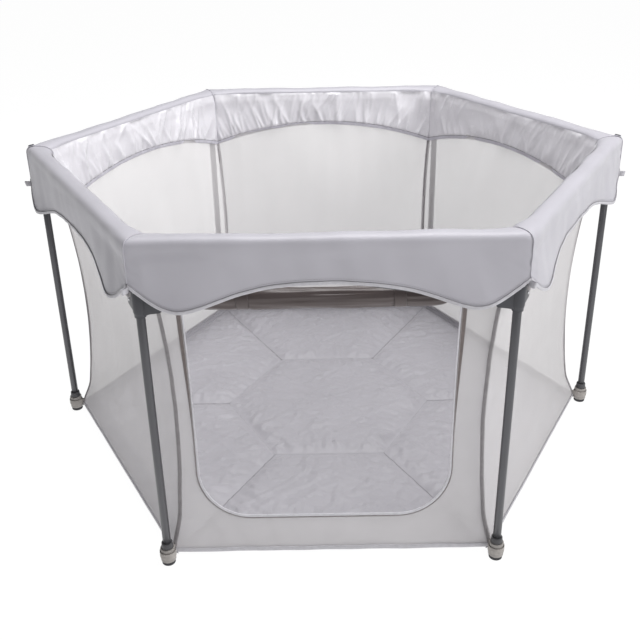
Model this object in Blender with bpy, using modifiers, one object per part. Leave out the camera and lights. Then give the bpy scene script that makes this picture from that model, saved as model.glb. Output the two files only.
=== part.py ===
"""Travel play yard: a hexagonal pop-up pen with six legs, a scissor frame and a sewn fabric body.

Z is up, the ground is z = 0 and the doorway faces -Y. Leg k stands at 60 k degrees round the centre.
Side i runs from leg i to leg i + 1. Each side has two crossed rods: the outer rod is pinned to leg i's
top bracket and leg i + 1's slider, and the inner rod is its mirror image. When the sliders run down the
legs the rods close like scissors, and the six legs move together while they stay upright.

Side coordinates: x runs along the side from leg i, y points into the pen, z is up.
"""

import math

import bmesh
import bpy
from mathutils import Matrix, Vector

# Driving dimensions, in metres
LEG_CIRCLE = 0.610            # radius of the circle that the leg axes stand on
SIDE = LEG_CIRCLE             # a regular hexagon's side
APOTHEM = LEG_CIRCLE * math.cos(math.radians(30))
MITRE = math.tan(math.radians(30))
GAP = 0.0003                  # clearance between touching pieces
LEGS = ("right", "back_right", "back_left", "left", "front_left", "front_right")
PANELS = ("right_back", "back", "left_back", "left_front", "front", "right_front")
ROOT_LEG = 2                  # the leg that the frame's motion is measured from
DOOR_SIDE = 4

TUBE_RADIUS, TUBE_BORE = 0.0075, 0.0065
TUBE_BOTTOM, TUBE_TOP = 0.0105, 0.6405
SLEEVE_BORE = 0.0078          # hole of a part that holds or runs on a leg

PIN_OFFSET = 0.030            # from a leg's axis to a rod's pin, along the side
TOP_PIN_Z, SLIDER_PIN_Z = 0.626, 0.536
PIN_RADIUS, PIN_HOLE, PIN_HEAD = 0.0024, 0.0027, 0.0006
ROD_HALF_HEIGHT, ROD_THICKNESS, ROD_LAYER = 0.0065, 0.004, 0.0025
ROD_SPAN = SIDE - 2 * PIN_OFFSET
ROD_DROP = TOP_PIN_Z - SLIDER_PIN_Z
ROD_LENGTH = math.hypot(ROD_SPAN, ROD_DROP)
ROD_SLOPE = math.atan2(ROD_DROP, ROD_SPAN)

WING_REACH, WING_WIDTH, WING_CHANNEL, WING_WEB = 0.037, 0.014, 0.010, 0.0025
WING_SHOULDER, CHANNEL_START = 0.030, 0.013   # where a wing's corner is cut, and where its channel begins
PAST = 0.010                                  # how far a cutter runs past what it cuts
COLLAR_RADIUS = 0.010
SLIDER_BOTTOM, SLIDER_TOP = 0.515, 0.570
BRACKET_BOTTOM, BRACKET_TOP = 0.600, 0.648
CAP_RADIUS, CAP_TOP = 0.008, 0.6575

BUTTON_Z, BUTTON_RADIUS, BUTTON_HOLE = 0.562, 0.0024, 0.0028
BUTTON_INNER, BUTTON_OUTER = 0.0040, 0.0110   # its ends, from the leg's axis

FOOT_PAD_RADIUS, FOOT_PAD_TOP = 0.0115, 0.006
FOOT_RADIUS, FOOT_BODY_TOP, FOOT_TOP = 0.014, 0.038, 0.048
FOOT_SOCKET_BOTTOM = 0.010

FABRIC = 0.002                # thickness of the cover and walls
MITRE_GAP = 0.0009            # keeps the thick edges of neighbouring sides apart
COVER_HALF, COVER_ROLL_Z = 0.019, 0.636       # half width of the top roll, and where its round top starts
HEM_CORNER_Z, HEM_LOW_Z, HEM_ARCH_Z = 0.578, 0.534, 0.577
HEM_LOW_AT, HEM_RISE, HEM_EASE = 0.083, 0.092, 1.6   # the hem's lowest point from a corner, and its rise
WALL_TOP_Z, WALL_BOTTOM_Z = 0.560, 0.014
WALL_RADIUS, WALL_LEVEL, WALL_DEEPEST = 1.457, 0.290, 0.0511   # the wall's arc, its middle height and depth
WALL_TUCK, WALL_TUCK_HEIGHT = 0.0105, 0.066   # how far the wall's bottom turns out towards the feet
CAP_CLEARANCE_RADIUS = 0.0095

FLOOR_BOTTOM, FLOOR_TOP, FLOOR_EDGE_Y = 0.0015, 0.0115, 0.024

DOOR_CENTRE, DOOR_HALF, DOOR_CORNER = 0.293, 0.235, 0.098
DOOR_SILL_Z, DOOR_TOP_Z = 0.072, 0.548
DOOR_CUTTER_START, DOOR_CUTTER_DEPTH = 0.008, 0.12
ROLL_HALF, ROLL_Y, ROLL_Z, ROLL_DEPTH, ROLL_HEIGHT = 0.215, 0.0375, 0.527, 0.0150, 0.0185
TIE_FROM_CENTRE, TIE_WIDTH, TIE_THICKNESS = 0.130, 0.020, 0.0015
ZIP_Z, ZIP_SLIDER_SIZE, ZIP_PULL_SIZE = 0.540, (0.009, 0.005, 0.013), (0.006, 0.0016, 0.026)

ROUND = 16                    # sides of a round piece
SMALL_ROUND = 10              # sides of a pin, rivet or button and of its hole
ROLL_ROUND = 20


# --- helpers -----------------------------------------------------------------------------------------

def clear_scene():
    for thing in list(bpy.data.objects):
        bpy.data.objects.remove(thing)


def new_collection(name):
    made = bpy.data.collections.new(name)
    bpy.context.scene.collection.children.link(made)
    return made


def material(name, colour, roughness, metallic=0.0):
    made = bpy.data.materials.new(name)
    made.use_nodes = True
    shader = made.node_tree.nodes["Principled BSDF"]
    shader.inputs["Base Color"].default_value = (*colour, 1.0)
    shader.inputs["Roughness"].default_value = roughness
    shader.inputs["Metallic"].default_value = metallic
    return made


def add_object(name, data):
    made = bpy.data.objects.new(name, data)
    bpy.context.scene.collection.objects.link(made)
    return made


def cylinder(radius, low, high, segments=ROUND, turn=None):
    """A cylinder on the Z axis from low to high, then turned by a matrix."""
    mesh = bpy.data.meshes.new("cylinder")
    form = bmesh.new()
    bmesh.ops.create_cone(form, cap_ends=True, segments=segments, radius1=radius, radius2=radius,
                          depth=high - low, matrix=Matrix.Translation((0, 0, (low + high) / 2)))
    if turn is not None:
        bmesh.ops.transform(form, matrix=turn, verts=form.verts)
    form.to_mesh(mesh)
    form.free()
    return add_object("cylinder", mesh)


def box(size, centre=(0, 0, 0)):
    mesh = bpy.data.meshes.new("box")
    form = bmesh.new()
    bmesh.ops.create_cube(form, size=1.0, matrix=Matrix.Translation(centre) @ Matrix.Diagonal((*size, 1.0)))
    form.to_mesh(mesh)
    form.free()
    return add_object("box", mesh)


def arc(centre, radius, start, end, steps):
    """Points round a centre from one angle to another, in degrees."""
    angles = [math.radians(start + (end - start) * k / steps) for k in range(steps + 1)]
    return [(centre[0] + radius * math.cos(a), centre[1] + radius * math.sin(a)) for a in angles]


def ring(centre, radius, steps):
    """The corners of a regular polygon, without repeating the first."""
    return arc(centre, radius, 0, 360, steps)[:-1]


def plate(outlines, thickness, turn=Matrix.Identity(4)):
    """A flat plate from a closed outline and its holes in the XY plane, thick along Z, then turned."""
    curve = bpy.data.curves.new("outline", "CURVE")
    curve.dimensions = "2D"
    curve.fill_mode = "BOTH"
    curve.extrude = thickness / 2
    for outline in outlines:
        spline = curve.splines.new("POLY")
        spline.points.add(len(outline) - 1)
        for point, (x, y) in zip(spline.points, outline):
            point.co = (x, y, 0, 1)
        spline.use_cyclic_u = True
    flat = add_object("outline", curve)
    solid = add_object("plate", baked_mesh(flat))
    solid.data.transform(turn)
    return solid


def baked_mesh(source):
    """The mesh of an object with its modifiers applied, welded and facing out. The object is removed."""
    bpy.context.view_layer.update()
    mesh = bpy.data.meshes.new_from_object(source.evaluated_get(bpy.context.evaluated_depsgraph_get()))
    form = bmesh.new()
    form.from_mesh(mesh)
    bmesh.ops.remove_doubles(form, verts=form.verts, dist=0.000001)
    bmesh.ops.recalc_face_normals(form, faces=form.faces)
    form.to_mesh(mesh)
    form.free()
    bpy.data.objects.remove(source)
    return mesh


def combined(base, others, operation):
    """The base with other solids joined to it or cut from it, one by one. The others are removed."""
    for other in others:
        step = base.modifiers.new(operation.lower(), "BOOLEAN")
        step.operation = operation
        step.object = other
        step.solver = "EXACT"
        base = add_object("combined", baked_mesh(base))
        bpy.data.objects.remove(other)
    return base


def finished(source, name):
    """The mesh of a finished shape, under its own name, with smooth round faces and sharp edges."""
    mesh = baked_mesh(source)
    mesh.name = name
    mesh.shade_smooth()
    mesh.set_sharp_from_angle(angle=math.radians(35))
    return mesh


def upright(x=0.0, y=0.0, z=0.0):
    """Stands a plate's XY outline up in the XZ plane."""
    return Matrix.Translation((x, y, z)) @ Matrix.Rotation(math.radians(90), 4, "X")


# --- places ------------------------------------------------------------------------------------------

def leg_frame(leg):
    """Leg coordinates: the axis is Z and +X points away from the pen's centre."""
    return Matrix.Rotation(math.radians(60 * leg), 4, "Z") @ Matrix.Translation((LEG_CIRCLE, 0, 0))


def side_frame(side):
    """Side coordinates: +X runs from leg i to leg i + 1 and +Y points into the pen."""
    corner = leg_frame(side).translation
    return Matrix.Translation(corner) @ Matrix.Rotation(math.radians(60 * side + 120), 4, "Z")


def wall_y(z):
    """How far the wall stands inside the leg line at a height: an arc, turned out at its bottom."""
    arc_y = WALL_DEEPEST - WALL_RADIUS + math.sqrt(WALL_RADIUS ** 2 - (z - WALL_LEVEL) ** 2)
    rise = min(max((z - WALL_BOTTOM_Z) / WALL_TUCK_HEIGHT, 0.0), 1.0)
    return arc_y - WALL_TUCK * (1 - rise * rise * (3 - 2 * rise))


def hem_z(x):
    """Height of the cover's outer hem: low flaps beside each slider and an arch between them."""
    from_corner = min(max(min(x, SIDE - x), 0.0), SIDE / 2)
    if from_corner < HEM_LOW_AT:
        drop = math.sin(math.pi / 2 * from_corner / HEM_LOW_AT)
        return HEM_CORNER_Z - (HEM_CORNER_Z - HEM_LOW_Z) * drop
    past = (from_corner - HEM_LOW_AT) / HEM_RISE
    return HEM_ARCH_Z - (HEM_ARCH_Z - HEM_LOW_Z) * math.exp(-past ** HEM_EASE)


# --- frame pieces ------------------------------------------------------------------------------------

def leg_tube():
    """A round tube with a hole near the top for the lock button, which faces outward."""
    tube = cylinder(TUBE_RADIUS, TUBE_BOTTOM, TUBE_TOP)
    bore = cylinder(TUBE_BORE, TUBE_BOTTOM - PAST, TUBE_TOP + PAST)
    hole = cylinder(BUTTON_HOLE, 0, 0.02, SMALL_ROUND, button_turn())
    return finished(combined(tube, [bore, hole], "DIFFERENCE"), "leg_tube")


def button_turn():
    """Lays a Z cylinder along the leg's outward direction at the height of the lock button."""
    return Matrix.Translation((0, 0, BUTTON_Z)) @ Matrix.Rotation(math.radians(90), 4, "Y")


def lock_button():
    """A sprung pin through the leg's wall that holds the slider up."""
    pin = cylinder(BUTTON_RADIUS, BUTTON_INNER, BUTTON_OUTER, SMALL_ROUND, button_turn())
    return finished(pin, "lock_button")


def wings(outline, channel, pin_z):
    """The two rod holders of a bracket: solids, the channels to cut from them, and their pins."""
    solids, channels, pins = [], [], []
    for angle in (120, -120):
        along = Matrix.Rotation(math.radians(angle), 4, "Z")
        solids.append(plate([outline], WING_WIDTH, along @ upright()))
        channels.append(plate([channel], WING_CHANNEL, along @ upright()))
        pin_end = WING_WIDTH / 2 + PIN_HEAD
        pins.append(cylinder(PIN_RADIUS, -pin_end, pin_end, SMALL_ROUND,
                             turn=along @ upright(x=PIN_OFFSET, z=pin_z)))
    return solids, channels, pins


def channel_outline(low, high):
    end = WING_REACH + PAST
    return [(CHANNEL_START, low), (end, low), (end, high), (CHANNEL_START, high)]


def slider():
    """A sleeve that runs on the leg, with a U-shaped rod holder along each side, open at the top."""
    bottom, top = SLIDER_BOTTOM, SLIDER_BOTTOM + 0.040
    outline = [(0.004, bottom + 0.001), (0.012, bottom + 0.004), (WING_REACH, bottom + 0.007),
               (WING_REACH, top - 0.008), (WING_SHOULDER, top), (0.004, top)]
    channel = channel_outline(bottom + 0.007 + WING_WEB, top + PAST)
    solids, channels, pins = wings(outline, channel, SLIDER_PIN_Z)
    sleeve = cylinder(COLLAR_RADIUS, SLIDER_BOTTOM, SLIDER_TOP)
    bore = cylinder(SLEEVE_BORE, SLIDER_BOTTOM - PAST, SLIDER_TOP + PAST)
    hole = cylinder(BUTTON_HOLE, 0, 0.02, SMALL_ROUND, button_turn())
    shape = combined(sleeve, solids, "UNION")
    shape = combined(shape, channels + [bore, hole], "DIFFERENCE")
    return finished(combined(shape, pins, "UNION"), "slider")


def top_bracket():
    """The cap on a leg's top, with a U-shaped rod holder along each side, open at the bottom."""
    bottom, top = BRACKET_BOTTOM + 0.008, BRACKET_TOP - 0.006
    outline = [(0.004, bottom), (WING_SHOULDER, bottom), (WING_REACH, bottom + 0.008),
               (WING_REACH, top - 0.004), (WING_SHOULDER, top), (0.004, top)]
    channel = channel_outline(bottom - PAST, top - 0.004 - WING_WEB)
    solids, channels, pins = wings(outline, channel, TOP_PIN_Z)
    sleeve = cylinder(COLLAR_RADIUS, BRACKET_BOTTOM, BRACKET_TOP)
    cap = cylinder(CAP_RADIUS, BRACKET_TOP - 0.004, CAP_TOP)
    bore = cylinder(SLEEVE_BORE, BRACKET_BOTTOM - PAST, TUBE_TOP + GAP)
    shape = combined(sleeve, solids + [cap], "UNION")
    shape = combined(shape, channels + [bore], "DIFFERENCE")
    return finished(combined(shape, pins, "UNION"), "top_bracket")


def foot():
    """A turned foot: rubber pad, wide body, narrow collar, and a blind socket for the leg."""
    profile = [(0, 0), (FOOT_PAD_RADIUS, 0), (FOOT_PAD_RADIUS, FOOT_PAD_TOP), (FOOT_RADIUS, FOOT_PAD_TOP),
               (FOOT_RADIUS, FOOT_BODY_TOP), (COLLAR_RADIUS, FOOT_BODY_TOP + 0.002),
               (COLLAR_RADIUS, FOOT_TOP), (SLEEVE_BORE, FOOT_TOP), (SLEEVE_BORE, FOOT_SOCKET_BOTTOM),
               (0, FOOT_SOCKET_BOTTOM)]
    mesh = bpy.data.meshes.new("foot_profile")
    points = [(r, 0, z) for r, z in reversed(profile)]
    mesh.from_pydata(points, [(k, k + 1) for k in range(len(points) - 1)], [])
    turned = add_object("foot_profile", mesh)
    screw = turned.modifiers.new("turn", "SCREW")
    screw.steps = screw.render_steps = ROUND
    screw.use_merge_vertices = True
    screw.merge_threshold = 0.00001
    return finished(turned, "foot")


def rod(layer, origin):
    """A flat bar with round ends and a pin hole at each end, its origin at its top end or its middle.

    The outer rod falls along +X and carries the middle rivet. The inner rod rises along +X and has
    a middle hole for it.
    """
    outer = layer == "outer"
    half = ROD_LENGTH / 2
    ends = arc((half, 0), ROD_HALF_HEIGHT, -90, 90, 6) + arc((-half, 0), ROD_HALF_HEIGHT, 90, 270, 6)
    holes = [(-half, 0), (half, 0)] + ([] if outer else [(0, 0)])
    circles = [ring(centre, PIN_HOLE, SMALL_ROUND) for centre in holes]
    y = -ROD_LAYER if outer else ROD_LAYER
    bar = plate([ends] + circles, ROD_THICKNESS, upright(y=y))
    if outer:
        rivet_end = ROD_LAYER + ROD_THICKNESS / 2 + PIN_HEAD
        rivet = cylinder(PIN_RADIUS, -rivet_end, rivet_end, SMALL_ROUND,
                         turn=Matrix.Rotation(math.radians(-90), 4, "X"))
        bar = combined(bar, [rivet], "UNION")
    falls = ROD_SLOPE if outer else -ROD_SLOPE
    bar.data.transform(Matrix.Rotation(falls, 4, "Y"))
    if origin == "end":
        end_x = -ROD_SPAN / 2 if outer else ROD_SPAN / 2
        bar.data.transform(Matrix.Translation((-end_x, 0, -ROD_DROP / 2)))
    return finished(bar, f"rod_{layer}_{origin}")


# --- fabric ------------------------------------------------------------------------------------------

def side_profile(x):
    """(y, z) of one side's fabric from the outer hem over the top roll and down the wall, at x."""
    skirt_rows, roll_rows, band_rows, wall_rows, tuck_rows = 3, 8, 2, 6, 3
    hem, wall_top_y, tuck_top = hem_z(x), wall_y(WALL_TOP_Z), WALL_BOTTOM_Z + WALL_TUCK_HEIGHT
    points = [(-COVER_HALF, hem + (COVER_ROLL_Z - hem) * k / skirt_rows) for k in range(skirt_rows)]
    points += [(-COVER_HALF * math.cos(math.pi * k / roll_rows),
                COVER_ROLL_Z + COVER_HALF * math.sin(math.pi * k / roll_rows)) for k in range(roll_rows)]
    points += [(COVER_HALF + (wall_top_y - COVER_HALF) * k / band_rows,
                COVER_ROLL_Z + (WALL_TOP_Z - COVER_ROLL_Z) * k / band_rows) for k in range(band_rows)]
    heights = [WALL_TOP_Z + (tuck_top - WALL_TOP_Z) * k / wall_rows for k in range(wall_rows)]
    heights += [tuck_top + (WALL_BOTTOM_Z - tuck_top) * k / tuck_rows for k in range(tuck_rows + 1)]
    return points + [(wall_y(z), z) for z in heights]


def side_panel(with_door):
    """One side of the sewn body: outer skirt, top roll, inner band and mesh wall, as a 2 mm shell."""
    columns, rows = 14, len(side_profile(0))
    mesh = bpy.data.meshes.new("side_panel")
    form = bmesh.new()
    bmesh.ops.create_grid(form, x_segments=columns, y_segments=rows - 1, size=0.5)
    for vertex in form.verts:
        share = 0.5 - 0.5 * math.cos(math.pi * (vertex.co.x + 0.5))
        row = round((vertex.co.y + 0.5) * (rows - 1))
        y, z = side_profile(share * SIDE)[row]
        low, high = y * MITRE + MITRE_GAP, SIDE - y * MITRE - MITRE_GAP
        vertex.co = (low + (high - low) * share, y, z)
    form.to_mesh(mesh)
    form.free()
    shell = add_object("side_panel", mesh)
    thick = shell.modifiers.new("thick", "SOLIDIFY")
    thick.thickness = FABRIC
    thick.offset = 0.0
    shell = add_object("side_panel", baked_mesh(shell))
    cap_holes = [cylinder(CAP_CLEARANCE_RADIUS, COVER_ROLL_Z + 0.005, CAP_TOP + PAST,
                          turn=Matrix.Translation((x, 0, 0))) for x in (0, SIDE)]
    shell = combined(shell, cap_holes, "DIFFERENCE")
    if with_door:
        shell = combined(shell, [door_cutter()], "DIFFERENCE")
    return finished(shell, "side_panel_door" if with_door else "side_panel")


def door_outline():
    """The doorway in the wall: straight sides, a level sill and round lower corners."""
    left, right = DOOR_CENTRE - DOOR_HALF, DOOR_CENTRE + DOOR_HALF
    low = DOOR_SILL_Z + DOOR_CORNER
    return ([(left, DOOR_TOP_Z)] + arc((left + DOOR_CORNER, low), DOOR_CORNER, 180, 270, 6)
            + arc((right - DOOR_CORNER, low), DOOR_CORNER, 270, 360, 6) + [(right, DOOR_TOP_Z)])


def door_cutter():
    """Cuts the wall only: it starts inside the cover's outer skirt."""
    return plate([door_outline()], DOOR_CUTTER_DEPTH, upright(y=DOOR_CUTTER_START + DOOR_CUTTER_DEPTH / 2))


def ellipse(depth, height):
    return [(x * depth, y * height) for x, y in ring((0, 0), 1.0, ROLL_ROUND)]


def along_side(x, y, z):
    """Stands a plate across the side, so that its outline lies in the YZ plane."""
    turn = Matrix(((0, 0, 1), (1, 0, 0), (0, 1, 0))).to_4x4()
    return Matrix.Translation((x, y, z)) @ turn


def door_roll():
    """The door's mesh, rolled up and tied under the cover."""
    roll = plate([ellipse(ROLL_DEPTH, ROLL_HEIGHT)], 2 * ROLL_HALF, along_side(DOOR_CENTRE, ROLL_Y, ROLL_Z))
    return finished(roll, "door_roll")


def door_tie():
    """A webbing loop round the rolled door."""
    inner = ellipse(ROLL_DEPTH + GAP, ROLL_HEIGHT + GAP)
    outer = ellipse(ROLL_DEPTH + GAP + TIE_THICKNESS, ROLL_HEIGHT + GAP + TIE_THICKNESS)
    return finished(plate([outer, inner], TIE_WIDTH, along_side(0, ROLL_Y, ROLL_Z)), "door_tie")


def zip_slider():
    """The door zip's slider, at the zip's open end beside the doorway's edge."""
    body = box(ZIP_SLIDER_SIZE)
    soften = body.modifiers.new("soften", "BEVEL")
    soften.width = 0.0012
    soften.segments = 2
    return finished(body, "zip_slider")


def zip_pull():
    """The pull that hangs from the zip slider, with its origin at its top."""
    width, depth, height = ZIP_PULL_SIZE
    return finished(box(ZIP_PULL_SIZE, (0, 0, -height / 2)), "zip_pull")


def floor_panel():
    """One sixth of the padded floor: a triangle from its side's edge to the pen's centre."""
    gap = GAP / math.cos(math.radians(30))
    low = FLOOR_EDGE_Y * MITRE + gap
    apex = (SIDE / 2 - gap) / MITRE
    outline = [(low, FLOOR_EDGE_Y), (SIDE - low, FLOOR_EDGE_Y), (SIDE / 2, apex)]
    middle = (FLOOR_BOTTOM + FLOOR_TOP) / 2
    return finished(plate([outline], FLOOR_TOP - FLOOR_BOTTOM, Matrix.Translation((0, 0, middle))),
                    "floor_panel")


# --- assembly ----------------------------------------------------------------------------------------

def pivot(name, place, collection):
    """An empty on a body's joint axis, which the body's pieces are parented to."""
    empty = bpy.data.objects.new(name, None)
    empty.empty_display_size = 0.02
    empty.matrix_world = Matrix.Translation(place)
    collection.objects.link(empty)
    return empty


def put(name, mesh, paint, frame, parent, collection):
    """A named piece of the yard, at its place, held by its body's pivot."""
    piece = bpy.data.objects.new(name, mesh)
    if not mesh.materials:
        mesh.materials.append(paint)
    collection.objects.link(piece)
    piece.parent = parent
    piece.matrix_parent_inverse = parent.matrix_world.inverted()
    piece.matrix_world = frame
    return piece


def side_point(side, x, y, z):
    return side_frame(side) @ Vector((x, y, z))


def leg_pivots(collection):
    """Each leg turns about its top pin on the side that its motion comes through."""
    pivots = []
    for leg, name in enumerate(LEGS):
        steps = (leg - ROOT_LEG) % len(LEGS)
        if steps == 0:
            place = leg_frame(leg).translation
        elif steps <= 3:
            place = side_point((leg - 1) % 6, SIDE - PIN_OFFSET, 0, TOP_PIN_Z)
        else:
            place = side_point(leg, PIN_OFFSET, 0, TOP_PIN_Z)
        pivots.append(pivot(f"pivot_leg_{name}", place, collection))
    return pivots


def build():
    clear_scene()
    yard = new_collection("travel_play_yard")
    dark_metal = material("dark_tube", (0.095, 0.098, 0.110), 0.35, 0.7)
    dark_plastic = material("dark_plastic", (0.050, 0.052, 0.062), 0.5)
    grey_plastic = material("foot_plastic", (0.45, 0.43, 0.41), 0.55)
    steel = material("zinc_steel", (0.45, 0.45, 0.46), 0.35, 1.0)
    satin = material("lavender_satin", (0.60, 0.59, 0.64), 0.5)
    mesh_cloth = material("door_mesh", (0.19, 0.155, 0.15), 0.8)
    quilt = material("quilted_floor", (0.52, 0.52, 0.56), 0.8)
    webbing = material("webbing", (0.20, 0.17, 0.165), 0.8)

    tube, bracket, sleeve, base, button = leg_tube(), top_bracket(), slider(), foot(), lock_button()
    rods = {(layer, origin): rod(layer, origin) for layer in ("outer", "inner") for origin in ("end", "middle")}
    plain_side, door_side, sector = side_panel(False), side_panel(True), floor_panel()

    legs = leg_pivots(yard)
    for leg, name in enumerate(LEGS):
        frame = leg_frame(leg)
        put(f"leg_{name}", tube, dark_metal, frame, legs[leg], yard)
        put(f"top_bracket_{name}", bracket, dark_plastic, frame, legs[leg], yard)
        put(f"foot_{name}", base, grey_plastic, frame, legs[leg], yard)
        put(f"lock_button_{name}", button, steel, frame, legs[leg], yard)
        slider_pin = pivot(f"pivot_slider_{name}",
                           side_point((leg - 1) % 6, SIDE - PIN_OFFSET, 0, SLIDER_PIN_Z), yard)
        put(f"slider_{name}", sleeve, dark_plastic, frame, slider_pin, yard)

    for side, name in enumerate(PANELS):
        frame = side_frame(side)
        steps = (side - ROOT_LEG) % len(PANELS)
        outer_at = "middle" if steps in (4, 5) else "end"
        inner_at = "middle" if steps in (0, 1, 2) else "end"
        places = {("outer", "end"): (PIN_OFFSET, TOP_PIN_Z), ("inner", "end"): (SIDE - PIN_OFFSET, TOP_PIN_Z)}
        middle = (SIDE / 2, (TOP_PIN_Z + SLIDER_PIN_Z) / 2)
        for layer, origin in (("outer", outer_at), ("inner", inner_at)):
            x, z = places.get((layer, origin), middle)
            at = frame @ Matrix.Translation((x, 0, z))
            put(f"rod_{layer}_{name}", rods[layer, origin], steel, at,
                pivot(f"pivot_rod_{layer}_{name}", at.translation, yard), yard)
        panel = door_side if side == DOOR_SIDE else plain_side
        put(f"side_panel_{name}", panel, satin, frame, legs[side], yard)
        edge = pivot(f"pivot_floor_{name}", side_point(side, SIDE / 2, FLOOR_EDGE_Y, FLOOR_BOTTOM), yard)
        put(f"floor_panel_{name}", sector, quilt, frame, edge, yard)

    front = side_frame(DOOR_SIDE)
    holder = legs[DOOR_SIDE]
    put("door_roll", door_roll(), mesh_cloth, front, holder, yard)
    tie = door_tie()
    for name, x in (("left", DOOR_CENTRE - TIE_FROM_CENTRE), ("right", DOOR_CENTRE + TIE_FROM_CENTRE)):
        put(f"door_tie_{name}", tie, webbing, front @ Matrix.Translation((x, 0, 0)), holder, yard)
    zip_x = DOOR_CENTRE - DOOR_HALF + ZIP_SLIDER_SIZE[0] / 2 + GAP
    zip_at = front @ Matrix.Translation((zip_x, wall_y(ZIP_Z), ZIP_Z))
    put("zip_slider", zip_slider(), steel, zip_at, pivot("pivot_zip_slider", zip_at.translation, yard), yard)
    hang = Matrix.Translation((0, -ZIP_SLIDER_SIZE[1] / 2 - ZIP_PULL_SIZE[1] / 2 - GAP, ZIP_SLIDER_SIZE[2] / 4))
    pull_at = zip_at @ hang
    put("zip_pull", zip_pull(), steel, pull_at, pivot("pivot_zip_pull", pull_at.translation, yard), yard)


build()
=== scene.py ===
"""Looks for the travel play yard: sewn cover, mesh walls, quilted floor and detailed hardware.

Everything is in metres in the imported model's frame: Z is up, the ground is z = 0, the doorway faces -Y.
Leg k stands at 60 k degrees. Side i runs from leg i to leg i + 1. In side coordinates x runs along the
side from leg i, y points into the pen and z is up. In leg coordinates x points out of the pen.
"""

import math
import random

import bmesh
import bpy
import numpy as np
from mathutils import Matrix, Vector, noise


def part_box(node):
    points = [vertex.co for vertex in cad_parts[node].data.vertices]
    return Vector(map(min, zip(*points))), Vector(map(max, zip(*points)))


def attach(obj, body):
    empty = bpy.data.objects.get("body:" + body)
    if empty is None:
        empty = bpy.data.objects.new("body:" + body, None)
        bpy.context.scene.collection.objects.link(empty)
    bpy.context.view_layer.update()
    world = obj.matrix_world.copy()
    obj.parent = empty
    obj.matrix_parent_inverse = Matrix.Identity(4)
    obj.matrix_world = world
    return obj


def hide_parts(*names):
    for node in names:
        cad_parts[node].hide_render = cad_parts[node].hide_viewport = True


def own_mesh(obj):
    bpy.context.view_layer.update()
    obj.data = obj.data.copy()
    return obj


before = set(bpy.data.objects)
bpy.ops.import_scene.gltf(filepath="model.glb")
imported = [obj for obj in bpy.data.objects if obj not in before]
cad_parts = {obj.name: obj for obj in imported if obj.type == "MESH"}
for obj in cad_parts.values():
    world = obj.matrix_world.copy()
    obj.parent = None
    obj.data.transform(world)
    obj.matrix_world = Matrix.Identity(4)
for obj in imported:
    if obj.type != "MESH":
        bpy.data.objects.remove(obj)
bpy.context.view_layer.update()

# --- driving dimensions ---

LEGS = ("right", "back_right", "back_left", "left", "front_left", "front_right")
PANELS = ("right_back", "back", "left_back", "left_front", "front", "right_front")
DOOR_SIDE = 4
LEG_LOW, LEG_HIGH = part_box("leg_right")
LEG_CIRCLE = (LEG_LOW.x + LEG_HIGH.x) / 2
SIDE = LEG_CIRCLE
COS_30 = math.cos(math.radians(30))
UP = (0.0, 0.0, 1.0)
TIPPED = Matrix.Rotation(math.radians(90), 4, "X")    # takes the Z axis to -Y
APOTHEM = LEG_CIRCLE * COS_30
MITRE = math.tan(math.radians(30))
TUBE_RADIUS = (LEG_HIGH.x - LEG_LOW.x) / 2

COVER_HALF, COVER_ROLL_Z = 0.019, 0.636       # half width of the top roll, and where its round top starts
COVER_SEAM_ANGLE = math.radians(28)           # where the inner seam sits on the roll's round top
CORNER_FILL, CORNER_FILL_LENGTH = 0.011, 0.040  # how far the roll swells into the pen near a corner
HEM_CORNER_Z, HEM_LOW_Z, HEM_ARCH_Z = 0.578, 0.534, 0.577
HEM_LOW_AT, HEM_RISE, HEM_EASE = 0.083, 0.092, 1.6   # the hem's lowest point from a corner, and its rise
FLAP_FLARE = 0.013                            # how far the hem's low flaps stand out
BAND_CORNER_Z, BAND_MIDDLE_Z = 0.522, 0.570   # lower edge of the inner band

WALL_TOP_Z, WALL_BOTTOM_Z = 0.560, 0.014
WALL_RADIUS, WALL_LEVEL, WALL_DEEPEST = 1.457, 0.290, 0.0511   # the wall's arc, its middle height and depth
WALL_TUCK, WALL_TUCK_HEIGHT = 0.0105, 0.066   # how far the wall's bottom turns out towards the feet
FLOOR_BOTTOM, FLOOR_TOP, FLOOR_EDGE_Y = 0.0018, 0.0118, 0.0235
FLOOR_HEXAGON = 0.241                         # circle through the corners of the floor's middle hexagon

DOOR_CENTRE, DOOR_HALF, DOOR_CORNER = 0.293, 0.235, 0.098
DOOR_SILL_Z, DOOR_TOP_Z = 0.072, 0.548
ROLL_HALF, ROLL_Y, ROLL_Z, ROLL_DEPTH, ROLL_HEIGHT = 0.215, 0.0375, 0.527, 0.0150, 0.0185
TIE_FROM_CENTRE, TIE_WIDTH = 0.130, 0.020

PIN_OFFSET, SLIDER_PIN_Z = 0.030, 0.536
SLIDER_BOTTOM, SLIDER_TOP, BRACKET_BOTTOM = 0.515, 0.570, 0.600

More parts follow.
